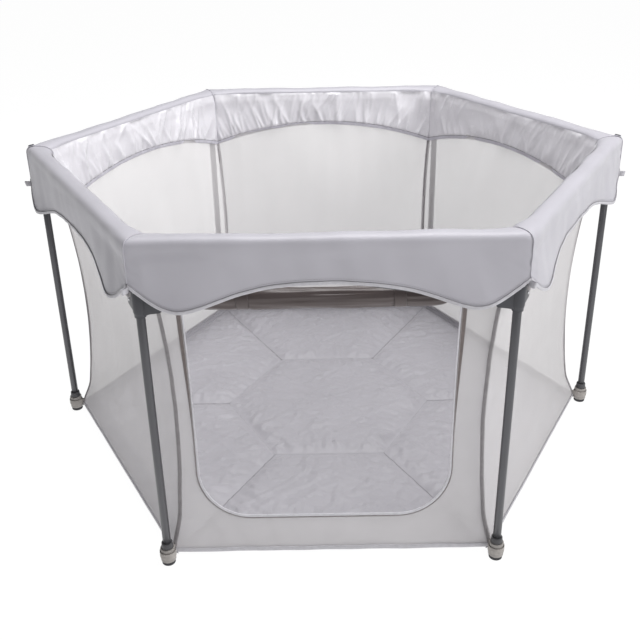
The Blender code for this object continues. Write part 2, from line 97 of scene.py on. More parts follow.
# Smooth noise that shapes the cloth: the size of its features along x, y and z, its seed and its depth. The
# rolled door's depths are shares of its radius, and for its gathers an angle.
RIPPLES = {
    "cover_broad": ((0.16, 0.2, 0.075), 1, 0.0040),
    "cover_fine": ((0.035, 0.2, 0.12), 21, 0.0016),
    "roll_padding": ((0.07, 0.1, 0.1), 41, 0.0022),
    "band_broad": ((0.05, 0.1, 0.05), 61, 0.004),
    "corner_seam": ((0.02, 0.02, 0.012), 5, 0.0008),
    "wall_slack": ((0.045, 1.0, 0.30), 81, 0.0030),
    "wall_broad": ((0.13, 1.0, 0.20), 91, 0.0060),
    "wall_hem": ((0.06, 1, 1), 3, 0.0016),
    "side_tape": ((0.05, 1, 1), 15, 0.0012),
    "door_creases": ((0.12, 0.006, 0.006), 201, 0.11),
    "door_broad": ((0.05, 0.015, 0.015), 202, 0.07),
    "door_gathers": ((0.05, 0.02, 0.02), 203, 2),
    "quilt_broad": ((0.05, 0.031, 1), 301, 0.003),
    "quilt_fine": ((0.02, 0.0125, 1), 302, 0.0015),
    "pad_broad": ((0.11, 0.11, 1), 309, 0.0045),
}


# --- places ---

def leg_frame(leg):
    """Leg coordinates in the world."""
    return Matrix.Rotation(math.radians(60 * leg), 4, "Z") @ Matrix.Translation((LEG_CIRCLE, 0, 0))


def side_frame(side):
    """Side coordinates in the world."""
    corner = leg_frame(side).translation
    return Matrix.Translation(corner) @ Matrix.Rotation(math.radians(60 * side + 120), 4, "Z")


def moved(points, matrix):
    """Points of shape (..., 3) taken through a 4 x 4 matrix."""
    turn = np.array(matrix)
    return points @ turn[:3, :3].T + turn[:3, 3]


def heading(direction, matrix):
    """A direction turned by a matrix."""
    return np.array(matrix)[:3, :3] @ np.array(direction, float)


def smooth_step(value):
    """Rises from 0 to 1 with level ends, and stays there."""
    value = np.clip(value, 0.0, 1.0)
    return value * value * (3 - 2 * value)


def from_corner(x):
    """Distance along the side to the nearer corner."""
    return np.clip(np.minimum(x, SIDE - x), 0.0, SIDE / 2)


def wall_y(z):
    """How far the wall stands inside the leg line at a height: an arc, turned out at its bottom."""
    arc_y = WALL_DEEPEST - WALL_RADIUS + np.sqrt(WALL_RADIUS ** 2 - (z - WALL_LEVEL) ** 2)
    return arc_y - WALL_TUCK * (1 - smooth_step((z - WALL_BOTTOM_Z) / WALL_TUCK_HEIGHT))


def hem_z(x):
    """Height of the cover's outer hem: low flaps beside each slider and an arch between them."""
    d = from_corner(x)
    flap = HEM_CORNER_Z - (HEM_CORNER_Z - HEM_LOW_Z) * np.sin(math.pi / 2 * np.minimum(d / HEM_LOW_AT, 1.0))
    past = np.maximum(d - HEM_LOW_AT, 0.0) / HEM_RISE
    arch = HEM_ARCH_Z - (HEM_ARCH_Z - HEM_LOW_Z) * np.exp(-past ** HEM_EASE)
    return np.where(d < HEM_LOW_AT, flap, arch)


def band_z(x):
    """Height of the inner band's lower edge: low at the corners and arched in the middle."""
    share = 1 - from_corner(x) / (SIDE / 2)
    return BAND_MIDDLE_Z - (BAND_MIDDLE_Z - BAND_CORNER_Z) * share ** 2.0


def roll_half_inside(x):
    """Half width of the top roll on the pen's side, which swells near a corner."""
    return COVER_HALF + CORNER_FILL * np.exp(-(from_corner(x) / CORNER_FILL_LENGTH) ** 2)


def skirt_y(x, z):
    """The outer skirt's depth, a little flared at its low flaps."""
    hem = hem_z(x)
    down = np.clip((COVER_ROLL_Z - z) / (COVER_ROLL_Z - hem), 0.0, 1.1)
    flap = np.exp(-((from_corner(x) - HEM_LOW_AT) / 0.055) ** 2)
    return -COVER_HALF - FLAP_FLARE * flap * down ** 2


def noise_at(points, size, seed):
    """Smooth noise of about -0.5 to 0.5 at points of shape (..., 3), with features of the given size."""
    flat = points.reshape(-1, 3) / np.array(size) + seed * 7.31
    return np.array([noise.noise(p) for p in flat.tolist()]).reshape(points.shape[:-1])


def ripple(kind, points, seed_shift=0):
    """One of the RIPPLES at points of shape (..., 3)."""
    size, seed, depth = RIPPLES[kind]
    return noise_at(points, size, seed + seed_shift) * depth


def stacked(*parts):
    """Arrays of x, y and z, or of u and v, as one array of points."""
    return np.stack(np.broadcast_arrays(*parts), -1)


# --- mesh helpers ---

def new_object(name, mesh, materials):
    """A smooth object of a mesh, with one material or a list of them."""
    for made in materials if isinstance(materials, (list, tuple)) else [materials]:
        mesh.materials.append(made)
    mesh.shade_smooth()
    made = bpy.data.objects.new(name, mesh)
    bpy.context.scene.collection.objects.link(made)
    return made


def mesh_from(name, points, faces, uv=None):
    """A mesh from points of shape (..., 3), with a UV for each point."""
    mesh = bpy.data.meshes.new(name)
    if isinstance(faces, np.ndarray):
        faces = faces.tolist()
    mesh.from_pydata(points.reshape(-1, 3).tolist(), [], faces)
    if uv is not None:
        layer = mesh.uv_layers.new(name="UVMap")
        corners = np.zeros(len(mesh.loops), np.int32)
        mesh.loops.foreach_get("vertex_index", corners)
        layer.data.foreach_set("uv", uv.reshape(-1, 2)[corners].ravel().astype(np.float32))
    mesh.validate()
    return mesh


def grid_faces(rows, columns, closed=False):
    """Quads of a grid of rows x columns points. A closed grid joins its last column to its first."""
    index = np.arange(rows * columns).reshape(rows, columns)
    if closed:
        index = np.concatenate([index, index[:, :1]], 1)
    return np.stack([index[:-1, :-1], index[:-1, 1:], index[1:, 1:], index[1:, :-1]], -1).reshape(-1, 4)


def sheet_mesh(name, points, uv):
    """A sheet of cloth from a grid of points."""
    rows, columns = points.shape[:2]
    return mesh_from(name, points, grid_faces(rows, columns), uv)


def joined(name, meshes, materials):
    """One object from several meshes, each with its own material index in the list."""
    form = bmesh.new()
    for mesh, slot in meshes:
        first = len(form.faces)
        form.from_mesh(mesh)
        form.faces.ensure_lookup_table()
        for face in form.faces[first:]:
            face.material_index = slot
        bpy.data.meshes.remove(mesh)
    whole = bpy.data.meshes.new(name)
    form.to_mesh(whole)
    form.free()
    return new_object(name, whole, materials)


def ribbon_mesh(path, across, width, thickness):
    """A flat ribbon swept along a path. Across is the direction of its width, and the width may change."""
    corners, sharp = 12, 0.45                 # points round it, and how square its edges are (0 is square)
    path = np.asarray(path, float)
    ahead = unit(np.gradient(path, axis=0))
    across = np.broadcast_to(np.asarray(across, float), path.shape)
    across = unit(across - ahead * (across * ahead).sum(1, keepdims=True))
    face_way = np.cross(ahead, across)
    turn = np.linspace(0, 2 * math.pi, corners, endpoint=False)
    share = np.sign(np.cos(turn)) * np.abs(np.cos(turn)) ** sharp / 2
    wide = np.broadcast_to(width, len(path))[:, None] * share
    deep = np.sign(np.sin(turn)) * np.abs(np.sin(turn)) ** sharp * thickness / 2
    points = path[:, None] + across[:, None] * wide[..., None] + face_way[:, None] * deep[None, :, None]
    uv = stacked(path_length(path)[:, None], wide + 0.5 * deep[None, :])
    return mesh_from("ribbon", points, tube_faces(len(path), corners), uv)


def unit(vectors):
    return vectors / np.linalg.norm(vectors, axis=-1, keepdims=True)


def path_length(path):
    """Length along a path at each of its points."""
    return np.concatenate([[0], np.cumsum(np.linalg.norm(np.diff(path, axis=0), axis=1))])


def tube_faces(rings, corners):
    """Faces of a closed tube of rings, with both ends capped."""
    faces = grid_faces(rings, corners, closed=True).tolist()
    return faces + [list(range(corners))[::-1], list(range((rings - 1) * corners, rings * corners))]


def cord_mesh(path, radius, corners=10):
    """A round bead along a path."""
    path = np.asarray(path, float)
    ahead = unit(np.gradient(path, axis=0))
    level_guide, upright_guide = (0.13, 0.21, 1.0), (1.0, 0.2, 0.1)    # never along the path
    across = unit(np.cross(ahead, level_guide if abs(ahead[:, 2]).mean() < 0.8 else upright_guide))
    up = np.cross(across, ahead)
    turn = np.linspace(0, 2 * math.pi, corners, endpoint=False)
    ring = across[:, None] * np.cos(turn)[None, :, None] + up[:, None] * np.sin(turn)[None, :, None]
    uv = stacked(path_length(path)[:, None], turn[None, :] * radius)
    return mesh_from("cord", path[:, None] + ring * radius, tube_faces(len(path), corners), uv)


def turned_mesh(profile, corners, matrix):
    """A round piece from (radius, z) points, turned on the Z axis, then placed."""
    profile = np.array(profile)
    turn = np.linspace(0, 2 * math.pi, corners, endpoint=False)
    points = stacked(profile[:, :1] * np.cos(turn), profile[:, :1] * np.sin(turn), profile[:, 1:])
    mesh = mesh_from("turned", moved(points, matrix), grid_faces(len(profile), corners, closed=True))
    weld(mesh)
    return mesh


def weld(mesh, distance=0.00002):
    """Joins points that lie together, and turns all faces outwards."""
    form = bmesh.new()
    form.from_mesh(mesh)
    bmesh.ops.remove_doubles(form, verts=form.verts, dist=distance)
    bmesh.ops.recalc_face_normals(form, faces=form.faces)
    form.to_mesh(mesh)
    form.free()


def plate_mesh(outline, thickness, bevel, matrix, steps=2):
    """A flat plate with rounded edges from an outline in the XZ plane, thick along Y, then placed."""
    form = bmesh.new()
    front = [form.verts.new((x, -thickness / 2, z)) for x, z in outline]
    face = form.faces.new(front)
    grown = bmesh.ops.extrude_face_region(form, geom=[face])
    moved_verts = [v for v in grown["geom"] if isinstance(v, bmesh.types.BMVert)]
    bmesh.ops.translate(form, verts=moved_verts, vec=(0, thickness, 0))
    bmesh.ops.recalc_face_normals(form, faces=form.faces)
    bmesh.ops.bevel(form, geom=list(form.edges), offset=bevel, segments=steps, affect="EDGES",
                    clamp_overlap=True, profile=0.5)
    bmesh.ops.transform(form, matrix=matrix, verts=form.verts)
    mesh = bpy.data.meshes.new("plate")
    form.to_mesh(mesh)
    form.free()
    return mesh


def stitch_mesh(path, outward, pitch=0.0042):
    """Short raised stitches along a path, each a small four-sided bead."""
    length, radius = 0.0026, 0.00032
    path = np.asarray(path, float)
    steps = path_length(path)
    starts = np.arange(pitch / 2, steps[-1] - length, pitch)
    spots = starts[:, None] + np.array([0, 0.5, 1]) * length
    places = stacked(*(np.interp(spots, steps, path[:, k]) for k in range(3)))
    along = unit(places[:, 2] - places[:, 0])
    out = np.broadcast_to(unit(np.asarray(outward, float)), along.shape)
    across = np.cross(along, out)
    ring = np.stack([across, out, -across, -out], 1)
    fat = np.array([0.45, 1.0, 0.45])[:, None, None]
    points = places[:, :, None] + ring[:, None] * (fat * radius)
    one = grid_faces(3, 4, closed=True).tolist() + [[3, 2, 1, 0], [8, 9, 10, 11]]
    faces = [[12 * k + corner for corner in face] for k in range(len(starts)) for face in one]
    return mesh_from("stitches", points, faces)


def arc(centre, radius, start, end, steps):
    """Points round a centre from one angle to another, in degrees."""
    angles = [math.radians(start + (end - start) * k / steps) for k in range(steps + 1)]
    return [(centre[0] + radius * math.cos(a), centre[1] + radius * math.sin(a)) for a in angles]


def folds_along(made, side, body=None):
    """Rides a soft piece on its side's leg, or on the body given, with a mesh of its own."""
    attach(made, body or f"leg_{LEGS[side]}")
    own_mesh(made)


def sewn_on(pieces, side):
    """Cloth pieces of one side, each riding on its side's leg."""
    for made in pieces:
        folds_along(made, side)


def fitted(made, body, node=None, sharp=None):
    """A piece that rides on one body: the CAD node it stands for, which it hides, and its sharp edges' angle.
    """
    if sharp:
        made.data.set_sharp_from_angle(angle=math.radians(sharp))
    if node:
        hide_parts(node)
    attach(made, body)


# --- materials ---

class Nodes:
    """Short names for building a material's node tree."""

    def __init__(self, name):
        self.material = bpy.data.materials.new(name)
        self.material.use_nodes = True
        self.tree = self.material.node_tree
        self.shader = self.tree.nodes["Principled BSDF"]

    def feed(self, socket, value):
        """Links a socket to another node's output, or gives it a plain value."""
        if isinstance(value, bpy.types.NodeSocket):
            self.tree.links.new(value, socket)
        else:
            socket.default_value = value

    def add(self, kind, inputs, **settings):
        made = self.tree.nodes.new(kind)
        for key, value in settings.items():
            setattr(made, key, value)
        for socket, value in inputs.items():
            self.feed(made.inputs[socket], value)
        return made

    def set(self, **values):
        """Feeds the shader's inputs, such as Base_Color."""
        for name, value in values.items():
            self.feed(self.shader.inputs[name.replace("_", " ")], value)

    def math(self, operation, a, b=0.0, clamp=False):
        return self.add("ShaderNodeMath", {0: a, 1: b}, operation=operation, use_clamp=clamp).outputs[0]

    def noise(self, scale, detail, roughness=0.55):
        place = self.add("ShaderNodeTexCoord", {}).outputs["Object"]
        inputs = {"Vector": place, "Scale": scale, "Detail": detail, "Roughness": roughness}
        return self.add("ShaderNodeTexNoise", inputs).outputs["Fac"]

    def between(self, source, low, high):
        """Maps 0..1 of a value to low..high."""
        inputs = {"Value": source, "To Min": low, "To Max": high}
        return self.add("ShaderNodeMapRange", inputs).outputs["Result"]

    def bump(self, height, distance, strength, **under):
        """A bump's normal. With Normal=another, it lies on top of that one."""
        inputs = {"Height": height, "Distance": distance, "Strength": strength, **under}
        return self.add("ShaderNodeBump", inputs).outputs["Normal"]

    def colour(self, source, places, colour, dark, bright):
        """Colours the shader between a darker and a brighter shade of a colour."""
        ramp = self.add("ShaderNodeValToRGB", {"Fac": source})
        for element, place, factor in zip(ramp.color_ramp.elements, places, (dark, bright)):
            element.position = place
            element.color = (*(min(c * factor, 1.0) for c in colour), 1.0)
        self.set(Base_Color=ramp.outputs["Color"])

    def wave(self, axis, pitch):
        """A sine wave of -1 to 1 along one of the cloth's own directions, whose UV is in metres."""
        uv = self.add("ShaderNodeTexCoord", {}).outputs["UV"]
        along = self.add("ShaderNodeSeparateXYZ", {0: uv}).outputs[axis]
        return self.math("SINE", self.math("MULTIPLY", along, 2 * math.pi / pitch))

    def halved(self, value):
        """Maps -1..1 of a value to 0..1."""
        return self.math("ADD", self.math("MULTIPLY", value, 0.5), 0.5)

    def weave(self, pitch):
        """A plain weave."""
        return self.halved(self.math("MULTIPLY", self.wave("X", pitch), self.wave("Y", pitch)))


def cloth_material(name, colour, roughness, sheen, pitch, crease, coat=0.0):
    """Woven cloth: fine weave, soft blotches in colour and gloss, and small creases."""
    n = Nodes(name)
    n.colour(n.noise(9.0, 4.0), (0.25, 0.75), colour, 0.955, 1.03)
    fine = n.bump(n.weave(pitch), 0.00006, 0.6)
    n.set(Roughness=n.between(n.noise(38.0, 3.0), roughness - 0.06, roughness + 0.06),
          Normal=n.bump(n.noise(55.0, 4.0, 0.6), crease, 0.55, Normal=fine),
          Sheen_Weight=sheen, Sheen_Roughness=0.45, Specular_IOR_Level=0.4)
    if coat:
        n.set(Coat_Weight=coat, Coat_Roughness=0.38)
    return n.material


def mesh_material(name, colour, cover, pitch):
    """Knitted mesh: see-through holes in a fine regular net, a little uneven in density."""
    n = Nodes(name)
    net = n.weave(pitch)
    uneven = n.noise(5.0, 3.0)
    density = n.math("ADD", n.between(uneven, cover - 0.05, cover + 0.05), n.between(net, -0.16, 0.16),
                     clamp=True)
    n.colour(uneven, (0.2, 0.8), colour, 0.97, 1.02)
    n.set(Alpha=density, Roughness=n.between(net, 0.62, 0.78), Normal=n.bump(net, 0.00012, 0.5),
          Sheen_Weight=0.25, Sheen_Roughness=0.5, Specular_IOR_Level=0.3)
    return n.material


def ribbed_material(name, colour, roughness, rib, edge_shade=0.82):
    """Woven tape: ribs across its length, with slightly worn colour."""
    n = Nodes(name)
    worn = n.noise(120.0, 3.0)
    n.colour(worn, (0.3, 0.7), colour, edge_shade, 1.08)
    n.set(Roughness=n.between(worn, roughness - 0.05, roughness + 0.08),
          Normal=n.bump(n.halved(n.wave("X", rib)), 0.00015, 0.7),
          Sheen_Weight=0.2, Sheen_Roughness=0.5, Specular_IOR_Level=0.35)
    return n.material


def hard_material(name, colour, roughness, grain_size, grain_depth, metallic=0.0, level=0.5):
    """Painted metal, moulded plastic or rubber: fine grain, faint smudges in gloss and colour."""
    n = Nodes(name)
    smudge = n.noise(22.0, 4.0)
    n.colour(smudge, (0.25, 0.75), colour, 0.93, 1.07)
    n.set(Roughness=n.between(smudge, roughness - 0.05, roughness + 0.07),
          Normal=n.bump(n.noise(1.0 / grain_size, 2.0), grain_depth, 0.5),
          Metallic=metallic, Specular_IOR_Level=level)
    return n.material


COVER_CLOTH = cloth_material("cover_cloth", (0.480, 0.468, 0.514), 0.46, 0.30, 0.0007, crease=0.0003)
BAND_SATIN = cloth_material("band_satin", (0.770, 0.755, 0.795), 0.26, 0.10, 0.0007, crease=0.0007, coat=0.35)
BINDING = ribbed_material("hem_binding", (0.540, 0.530, 0.565), 0.50, 0.0012, edge_shade=0.93)
BRIGHT_TAPE = ribbed_material("bright_tape", (0.670, 0.660, 0.700), 0.45, 0.0012, edge_shade=0.95)
PIPING = ribbed_material("seam_piping", (0.640, 0.625, 0.690), 0.45, 0.0012, edge_shade=0.93)
THREAD = hard_material("thread", (0.36, 0.35, 0.37), 0.6, 0.0004, 0.00005)
SEAM_SHADOW = hard_material("seam_shadow", (0.270, 0.262, 0.280), 0.7, 0.0004, 0.00005, level=0.2)
WALL_NET = mesh_material("wall_net", (0.712, 0.692, 0.700), 0.66, 0.0016)
SIDE_TAPE = ribbed_material("side_tape", (0.310, 0.292, 0.302), 0.55, 0.0014)
ZIP_TAPE = ribbed_material("zip_tape", (0.190, 0.158, 0.152), 0.55, 0.0014)
ZIP_TEETH = hard_material("zip_teeth", (0.36, 0.335, 0.340), 0.35, 0.0005, 0.00003)
FLOOR_CLOTH = cloth_material("floor_cloth", (0.385, 0.375, 0.404), 0.50, 0.25, 0.0008, crease=0.0009)
FLOOR_SEAM = ribbed_material("floor_seam", (0.285, 0.277, 0.298), 0.60, 0.0026)
ROLL_SATIN = cloth_material("roll_satin", (0.098, 0.077, 0.075), 0.38, 0.35, 0.0010, crease=0.0004)
LOOP_WEBBING = ribbed_material("loop_webbing", (0.420, 0.392, 0.372), 0.6, 0.0012)
TUBE_PAINT = hard_material("tube_paint", (0.108, 0.108, 0.116), 0.32, 0.0006, 0.00003, metallic=0.6)
BRACKET_PLASTIC = hard_material("bracket_plastic", (0.046, 0.047, 0.056), 0.42, 0.0005, 0.00006)
COLLAR_PLASTIC = hard_material("collar_plastic", (0.075, 0.074, 0.080), 0.44, 0.0005, 0.00006)
CUP_PLASTIC = hard_material("cup_plastic", (0.360, 0.338, 0.322), 0.50, 0.0005, 0.00008)
FOOT_RUBBER = hard_material("foot_rubber", (0.050, 0.050, 0.055), 0.75, 0.0005, 0.00010, level=0.3)
BRIGHT_STEEL = hard_material("bright_steel", (0.620, 0.620, 0.640), 0.24, 0.0004, 0.00002, metallic=1.0)
ROD_STEEL = hard_material("rod_steel", (0.130, 0.132, 0.142), 0.36, 0.0006, 0.00004, metallic=0.6)


# --- cover ---

SLOTTED_LEGS = (0, 3)
GATHER_DEPTH = (0.5, 1.0, 1.0, 0.9, 0.9, 0.7)   # how deep each side's inner band is gathered
CORNER_CALM, SKIRT_BLEND = 0.03, 0.02         # ripples fade this near a corner, and from skirt to roll
PUCKER_DEPTH, PUCKER_PITCH, PUCKER_REACH = 0.0007, 0.012, 0.006
DIP_DEPTH, DIP_WIDTH = 0.0009, 0.004          # where the corner seam pulls the cover in
LOOP_REACH, LOOP_RADIUS = 0.0122, 0.0019      # the tape loop at the cover's corner
CAP_X, CAP_RISE, CAP_LEAN = 0.0100, 1.07, math.radians(14)    # the bracket's cap in its sewn slot
CAP_HALF, CAP_RADIUS, CAP_THICKNESS = 0.0042, 0.0020, 0.0030
COVER_COLUMNS, BAND_COLUMNS, ROLL_ROWS, SKIRT_ROWS, BAND_ROWS = 170, 250, 24, 26, 36


def side_columns(count):
    """Shares from 0 to 1 along a side, closer together near the corners."""
    share = np.linspace(0, 1, count)
    return 0.65 * share + 0.35 * (0.5 - 0.5 * np.cos(math.pi * share))


def mitred_x(share, y):
    """x along the side for a share of its mitred length at a depth y."""
    low, high = y * MITRE, SIDE - y * MITRE
    return low + (high - low) * share


def top_roll_yz(x, angle):
    """(y, z) on the squarish top roll at an angle: 0 is the pen's side and pi the sharper outside."""
    inside = np.cos(angle) > 0
    half = np.where(inside, roll_half_inside(x), COVER_HALF)
    power = np.where(inside, 0.85, 0.68)
    y = half * np.sign(np.cos(angle)) * np.abs(np.cos(angle)) ** power
    z = COVER_ROLL_Z + COVER_HALF * np.abs(np.sin(angle)) ** power
    return y, z


def seam_puckers(x, distance):
    """Small regular dips where a row of stitches pulls the cloth, fading away from the seam."""
    return np.abs(np.sin(math.pi * x / PUCKER_PITCH)) * np.exp(-distance / PUCKER_REACH)


def cover_points(side):
    """Grid of the outer cover in side coordinates and its UV: inner seam, over the roll, down to the hem."""
    share = side_columns(COVER_COLUMNS)
    angles = np.linspace(COVER_SEAM_ANGLE, math.pi, ROLL_ROWS)
    nominal_x = share * SIDE
    rows = []
    for angle in angles:
        y, z = top_roll_yz(nominal_x, np.full_like(nominal_x, angle))
        rows.append((y, z))
    hem = hem_z(nominal_x)
    for down in np.linspace(0, 1, SKIRT_ROWS + 1)[1:]:
        z = COVER_ROLL_Z + (hem - COVER_ROLL_Z) * down
        rows.append((skirt_y(nominal_x, z), z))
    y = np.array([r[0] for r in rows])
    z = np.array([r[1] for r in rows])
    x = mitred_x(share[None, :], y)
    points = stacked(x, y, z)
    step = np.linalg.norm(np.diff(points, axis=0), axis=-1)
    down_length = np.concatenate([np.zeros((1, step.shape[1])), np.cumsum(step, 0)])
    normal = outward_normals(points)
    edge = from_corner(nominal_x)[None, :] + 0 * z
    calm = smooth_step(edge / CORNER_CALM)
    on_skirt = smooth_step((COVER_ROLL_Z - z) / SKIRT_BLEND)
    broad = ripple("cover_broad", points, side) * calm * on_skirt
    ripples = ripple("cover_fine", points * [1, 1, 0.5] + z[..., None] * [0.35, 0, 0], side)
    padding = ripple("roll_padding", points, side) * calm * (1 - on_skirt)
    corner_folds = np.sin((x * 0.8 + z * 1.3) / 0.0042) * np.exp(-edge / 0.022) * 0.0005 * on_skirt
    puckers = -PUCKER_DEPTH * seam_puckers(nominal_x[None, :], down_length)
    seam_dip = -DIP_DEPTH * np.exp(-(edge / DIP_WIDTH) ** 2)
    lift = broad + ripples * calm * (0.35 + 0.65 * on_skirt) + padding + corner_folds + puckers + seam_dip
    points = points + normal * lift[..., None]
    return points, stacked(x, down_length)


def outward_normals(points):
    """Unit normals of a grid, on the side that faces away from the roll's core."""
    along = np.gradient(points, axis=1)
    down = np.gradient(points, axis=0)
    return unit(np.cross(down, along))


def cover_piece(side):
    """The outer cover of one side, with its bound and stitched hem."""
    points, uv = cover_points(side)
    matrix = side_frame(side)
    made = new_object(f"cover_{PANELS[side]}", sheet_mesh("cover", moved(points, matrix), uv), COVER_CLOTH)
    hem = points[-1]
    stitch_line = stacked(hem[:, 0], points[-2][:, 1] - 0.0003, hem[:, 2] + 0.0078)
    outward = heading((0, -1, 0), matrix)
    parts = [(ribbon_mesh(moved(hem + [0, -0.0004, 0.0012], matrix), UP, 0.0056, 0.0022), 0),
             (stitch_mesh(moved(stitch_line, matrix), outward), 1),
             (stitch_mesh(moved(points[1] + [0, 0, 0.0003], matrix), heading((0, 0.5, 0.86), matrix)), 1),
             (cord_mesh(moved(hem + [0, -0.0004, 0.0044], matrix), 0.0005, 6), 2)]
    hem_piece = joined(f"cover_hem_{PANELS[side]}", parts, [BINDING, THREAD, SEAM_SHADOW])
    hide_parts(f"side_panel_{PANELS[side]}")
    sewn_on((made, hem_piece), side)


# Gathers at the band's lower and upper seams: how many, and the ranges of their widths and heights.
GATHER_SEED = 11
LOW_GATHERS, LOW_LEAN = (72, (0.0020, 0.0052), (0.0018, 0.0050)), 0.050
HIGH_GATHERS, HIGH_LEAN = (34, (0.0026, 0.0060), (0.0012, 0.0034)), 0.03
BIG_FOLD_X, BIG_FOLD_LEAN, BIG_FOLD_HEIGHT = 0.075, 0.050, 0.0050   # one deep fold near each band's far end


def gathers(x, share, side, lean, count, width, tall):
    """Sharp slanting folds that start at the edge where share is 0 and fade out as it grows."""
    generator = random.Random(GATHER_SEED + side + 100 * count)
    lift = np.zeros(np.broadcast(x, share).shape)
    for _ in range(count):
        foot = generator.uniform(0.025, SIDE - 0.025)
        slant = lean(foot) + generator.gauss(0.0, 0.022)
        reach = generator.uniform(0.45, 1.15)
        spread = generator.uniform(*width) * (1 + 1.1 * share)
        across = np.abs(x - foot - slant * share) / spread
        lift += generator.uniform(*tall) * np.exp(-across ** 1.4) * np.clip(1 - share / reach, 0, 1) ** 0.8
    return lift


def band_points(side):
    """Grid of the inner band, gathered into slanting folds at its lower seam."""
    share = side_columns(BAND_COLUMNS)
    nominal_x = share * SIDE
    seam_y, seam_z = top_roll_yz(nominal_x, np.full_like(nominal_x, COVER_SEAM_ANGLE))
    low_z = band_z(nominal_x)
    down = np.linspace(0, 1, BAND_ROWS)[:, None]
    z = seam_z + (low_z - seam_z) * down
    round_off = smooth_step((seam_z - z) / 0.020)
    y = seam_y + (roll_half_inside(nominal_x) + 0.0008 - seam_y) * round_off
    y = y + (wall_y(low_z) + 0.0015 - y) * smooth_step(down)
    x = mitred_x(share[None, :], y)
    points = stacked(x, y, z)
    lift = gathers(x, 1 - down, side, lambda foot: LOW_LEAN * (2 * foot / SIDE - 1), *LOW_GATHERS)
    lift += gathers(x, down, side, lambda foot: HIGH_LEAN, *HIGH_GATHERS)
    big_fold = np.abs(x - (SIDE - BIG_FOLD_X) + BIG_FOLD_LEAN * down) / (0.006 + 0.012 * down)
    lift = (lift + BIG_FOLD_HEIGHT * np.exp(-big_fold ** 1.6) * down) * GATHER_DEPTH[side]
    edge = from_corner(nominal_x)[None, :]
    pinned = smooth_step(down / 0.05) * smooth_step((1 - down) / 0.04) * smooth_step(edge / 0.006)
    points = points + stacked(0, (lift + ripple("band_broad", points, side)) * pinned, 0)
    return points, stacked(x, -z)


def band_piece(side):
    """The gathered inner band of one side, with its piping."""
    points, uv = band_points(side)
    matrix = side_frame(side)
    made = new_object(f"inner_band_{PANELS[side]}", sheet_mesh("band", moved(points, matrix), uv), BAND_SATIN)
    low = points[-1]
    inward = heading((0, 1, 0), matrix)
    parts = [(ribbon_mesh(moved(low + [0, 0.0002, -0.0034], matrix), UP, 0.0085, 0.0016), 0),
             (cord_mesh(moved(low + [0, 0.0010, 0.0010], matrix), 0.0006), 1),
             (stitch_mesh(moved(low + [0, 0.0012, -0.0052], matrix), inward), 2)]
    hem = joined(f"band_hem_{PANELS[side]}", parts, [PIPING, SEAM_SHADOW, THREAD])
    sewn_on((made, hem), side)


def corner_piping(leg):
    """The raised seam where two sides of the cover meet, from the hem over the roll and down inside."""
    path = []
    for z in np.linspace(float(hem_z(0.0)), COVER_ROLL_Z, 14)[:-1]:
        path.append((COVER_HALF, z))
    for angle in np.linspace(math.pi, 0, 22):
        y, z = top_roll_yz(np.array(0.0), np.array(angle))
        path.append((-float(y), float(z)))
    inner = float(roll_half_inside(np.array(0.0)))
    for z in np.linspace(COVER_ROLL_Z, BAND_CORNER_Z, 12)[1:]:
        share = (COVER_ROLL_Z - z) / (COVER_ROLL_Z - BAND_CORNER_Z)
        low = float(wall_y(BAND_CORNER_Z)) + 0.0015
        path.append((-(inner + (low - inner) * share), z))
    # Depth y on a side is y / cos 30 along the leg's inward direction
    points = np.array([(y / COS_30, 0.0, z) for y, z in path])
    points[:, 1] += ripple("corner_seam", points, leg)
    mesh = cord_mesh(moved(points, leg_frame(leg)), 0.0009, corners=12)
    fitted(new_object(f"cover_seam_{LEGS[leg]}", mesh, COVER_CLOTH), f"leg_{LEGS[leg]}")


def top_bracket(leg):
    """The bracket on the leg's top, all of it under the cover, and its cap in a sewn slot at two corners."""
    matrix = leg_frame(leg)
    low = BRACKET_BOTTOM
    sleeve = [(TUBE_RADIUS + 0.0003, low), (0.0096, low), (0.0102, low + 0.0008), (0.0102, low + 0.034),
              (0.0088, low + 0.042), (0.0060, low + 0.0455), (0, low + 0.0460)]
    parts = [(turned_mesh(sleeve, 40, matrix), 0)]
    for angle in (120, -120):
        along = matrix @ Matrix.Rotation(math.radians(angle), 4, "Z")
        cheek = [(0.006, low + 0.002), (0.030, low + 0.002), (0.036, low + 0.010), (0.034, low + 0.034),
                 (0.006, low + 0.038)]
        for way in (-1, 1):
            place = along @ Matrix.Translation((0, way * 0.0058, 0))
            parts.append((plate_mesh(cheek, 0.0020, 0.0004, place), 0))
    if leg in SLOTTED_LEGS:
        place = matrix @ Matrix.Translation((CAP_X, 0, COVER_ROLL_Z + COVER_HALF * CAP_RISE))
        stand = place @ Matrix.Rotation(CAP_LEAN, 4, "Y") @ TIPPED
        outline = arc((CAP_HALF, 0), CAP_RADIUS, -90, 90, 8) + arc((-CAP_HALF, 0), CAP_RADIUS, 90, 270, 8)
        rim = np.array([(x * 1.18, -0.0008, z * 1.36) for x, z in outline + outline[:1]])
        parts.append((plate_mesh(outline, CAP_THICKNESS, 0.0006, stand), 0))
        parts.append((cord_mesh(moved(rim, stand), 0.0006, 8), 1))
    made = joined(f"leg_top_{LEGS[leg]}", parts, [BRACKET_PLASTIC, PIPING])
    fitted(made, f"leg_{LEGS[leg]}", node=f"top_bracket_{LEGS[leg]}", sharp=40)


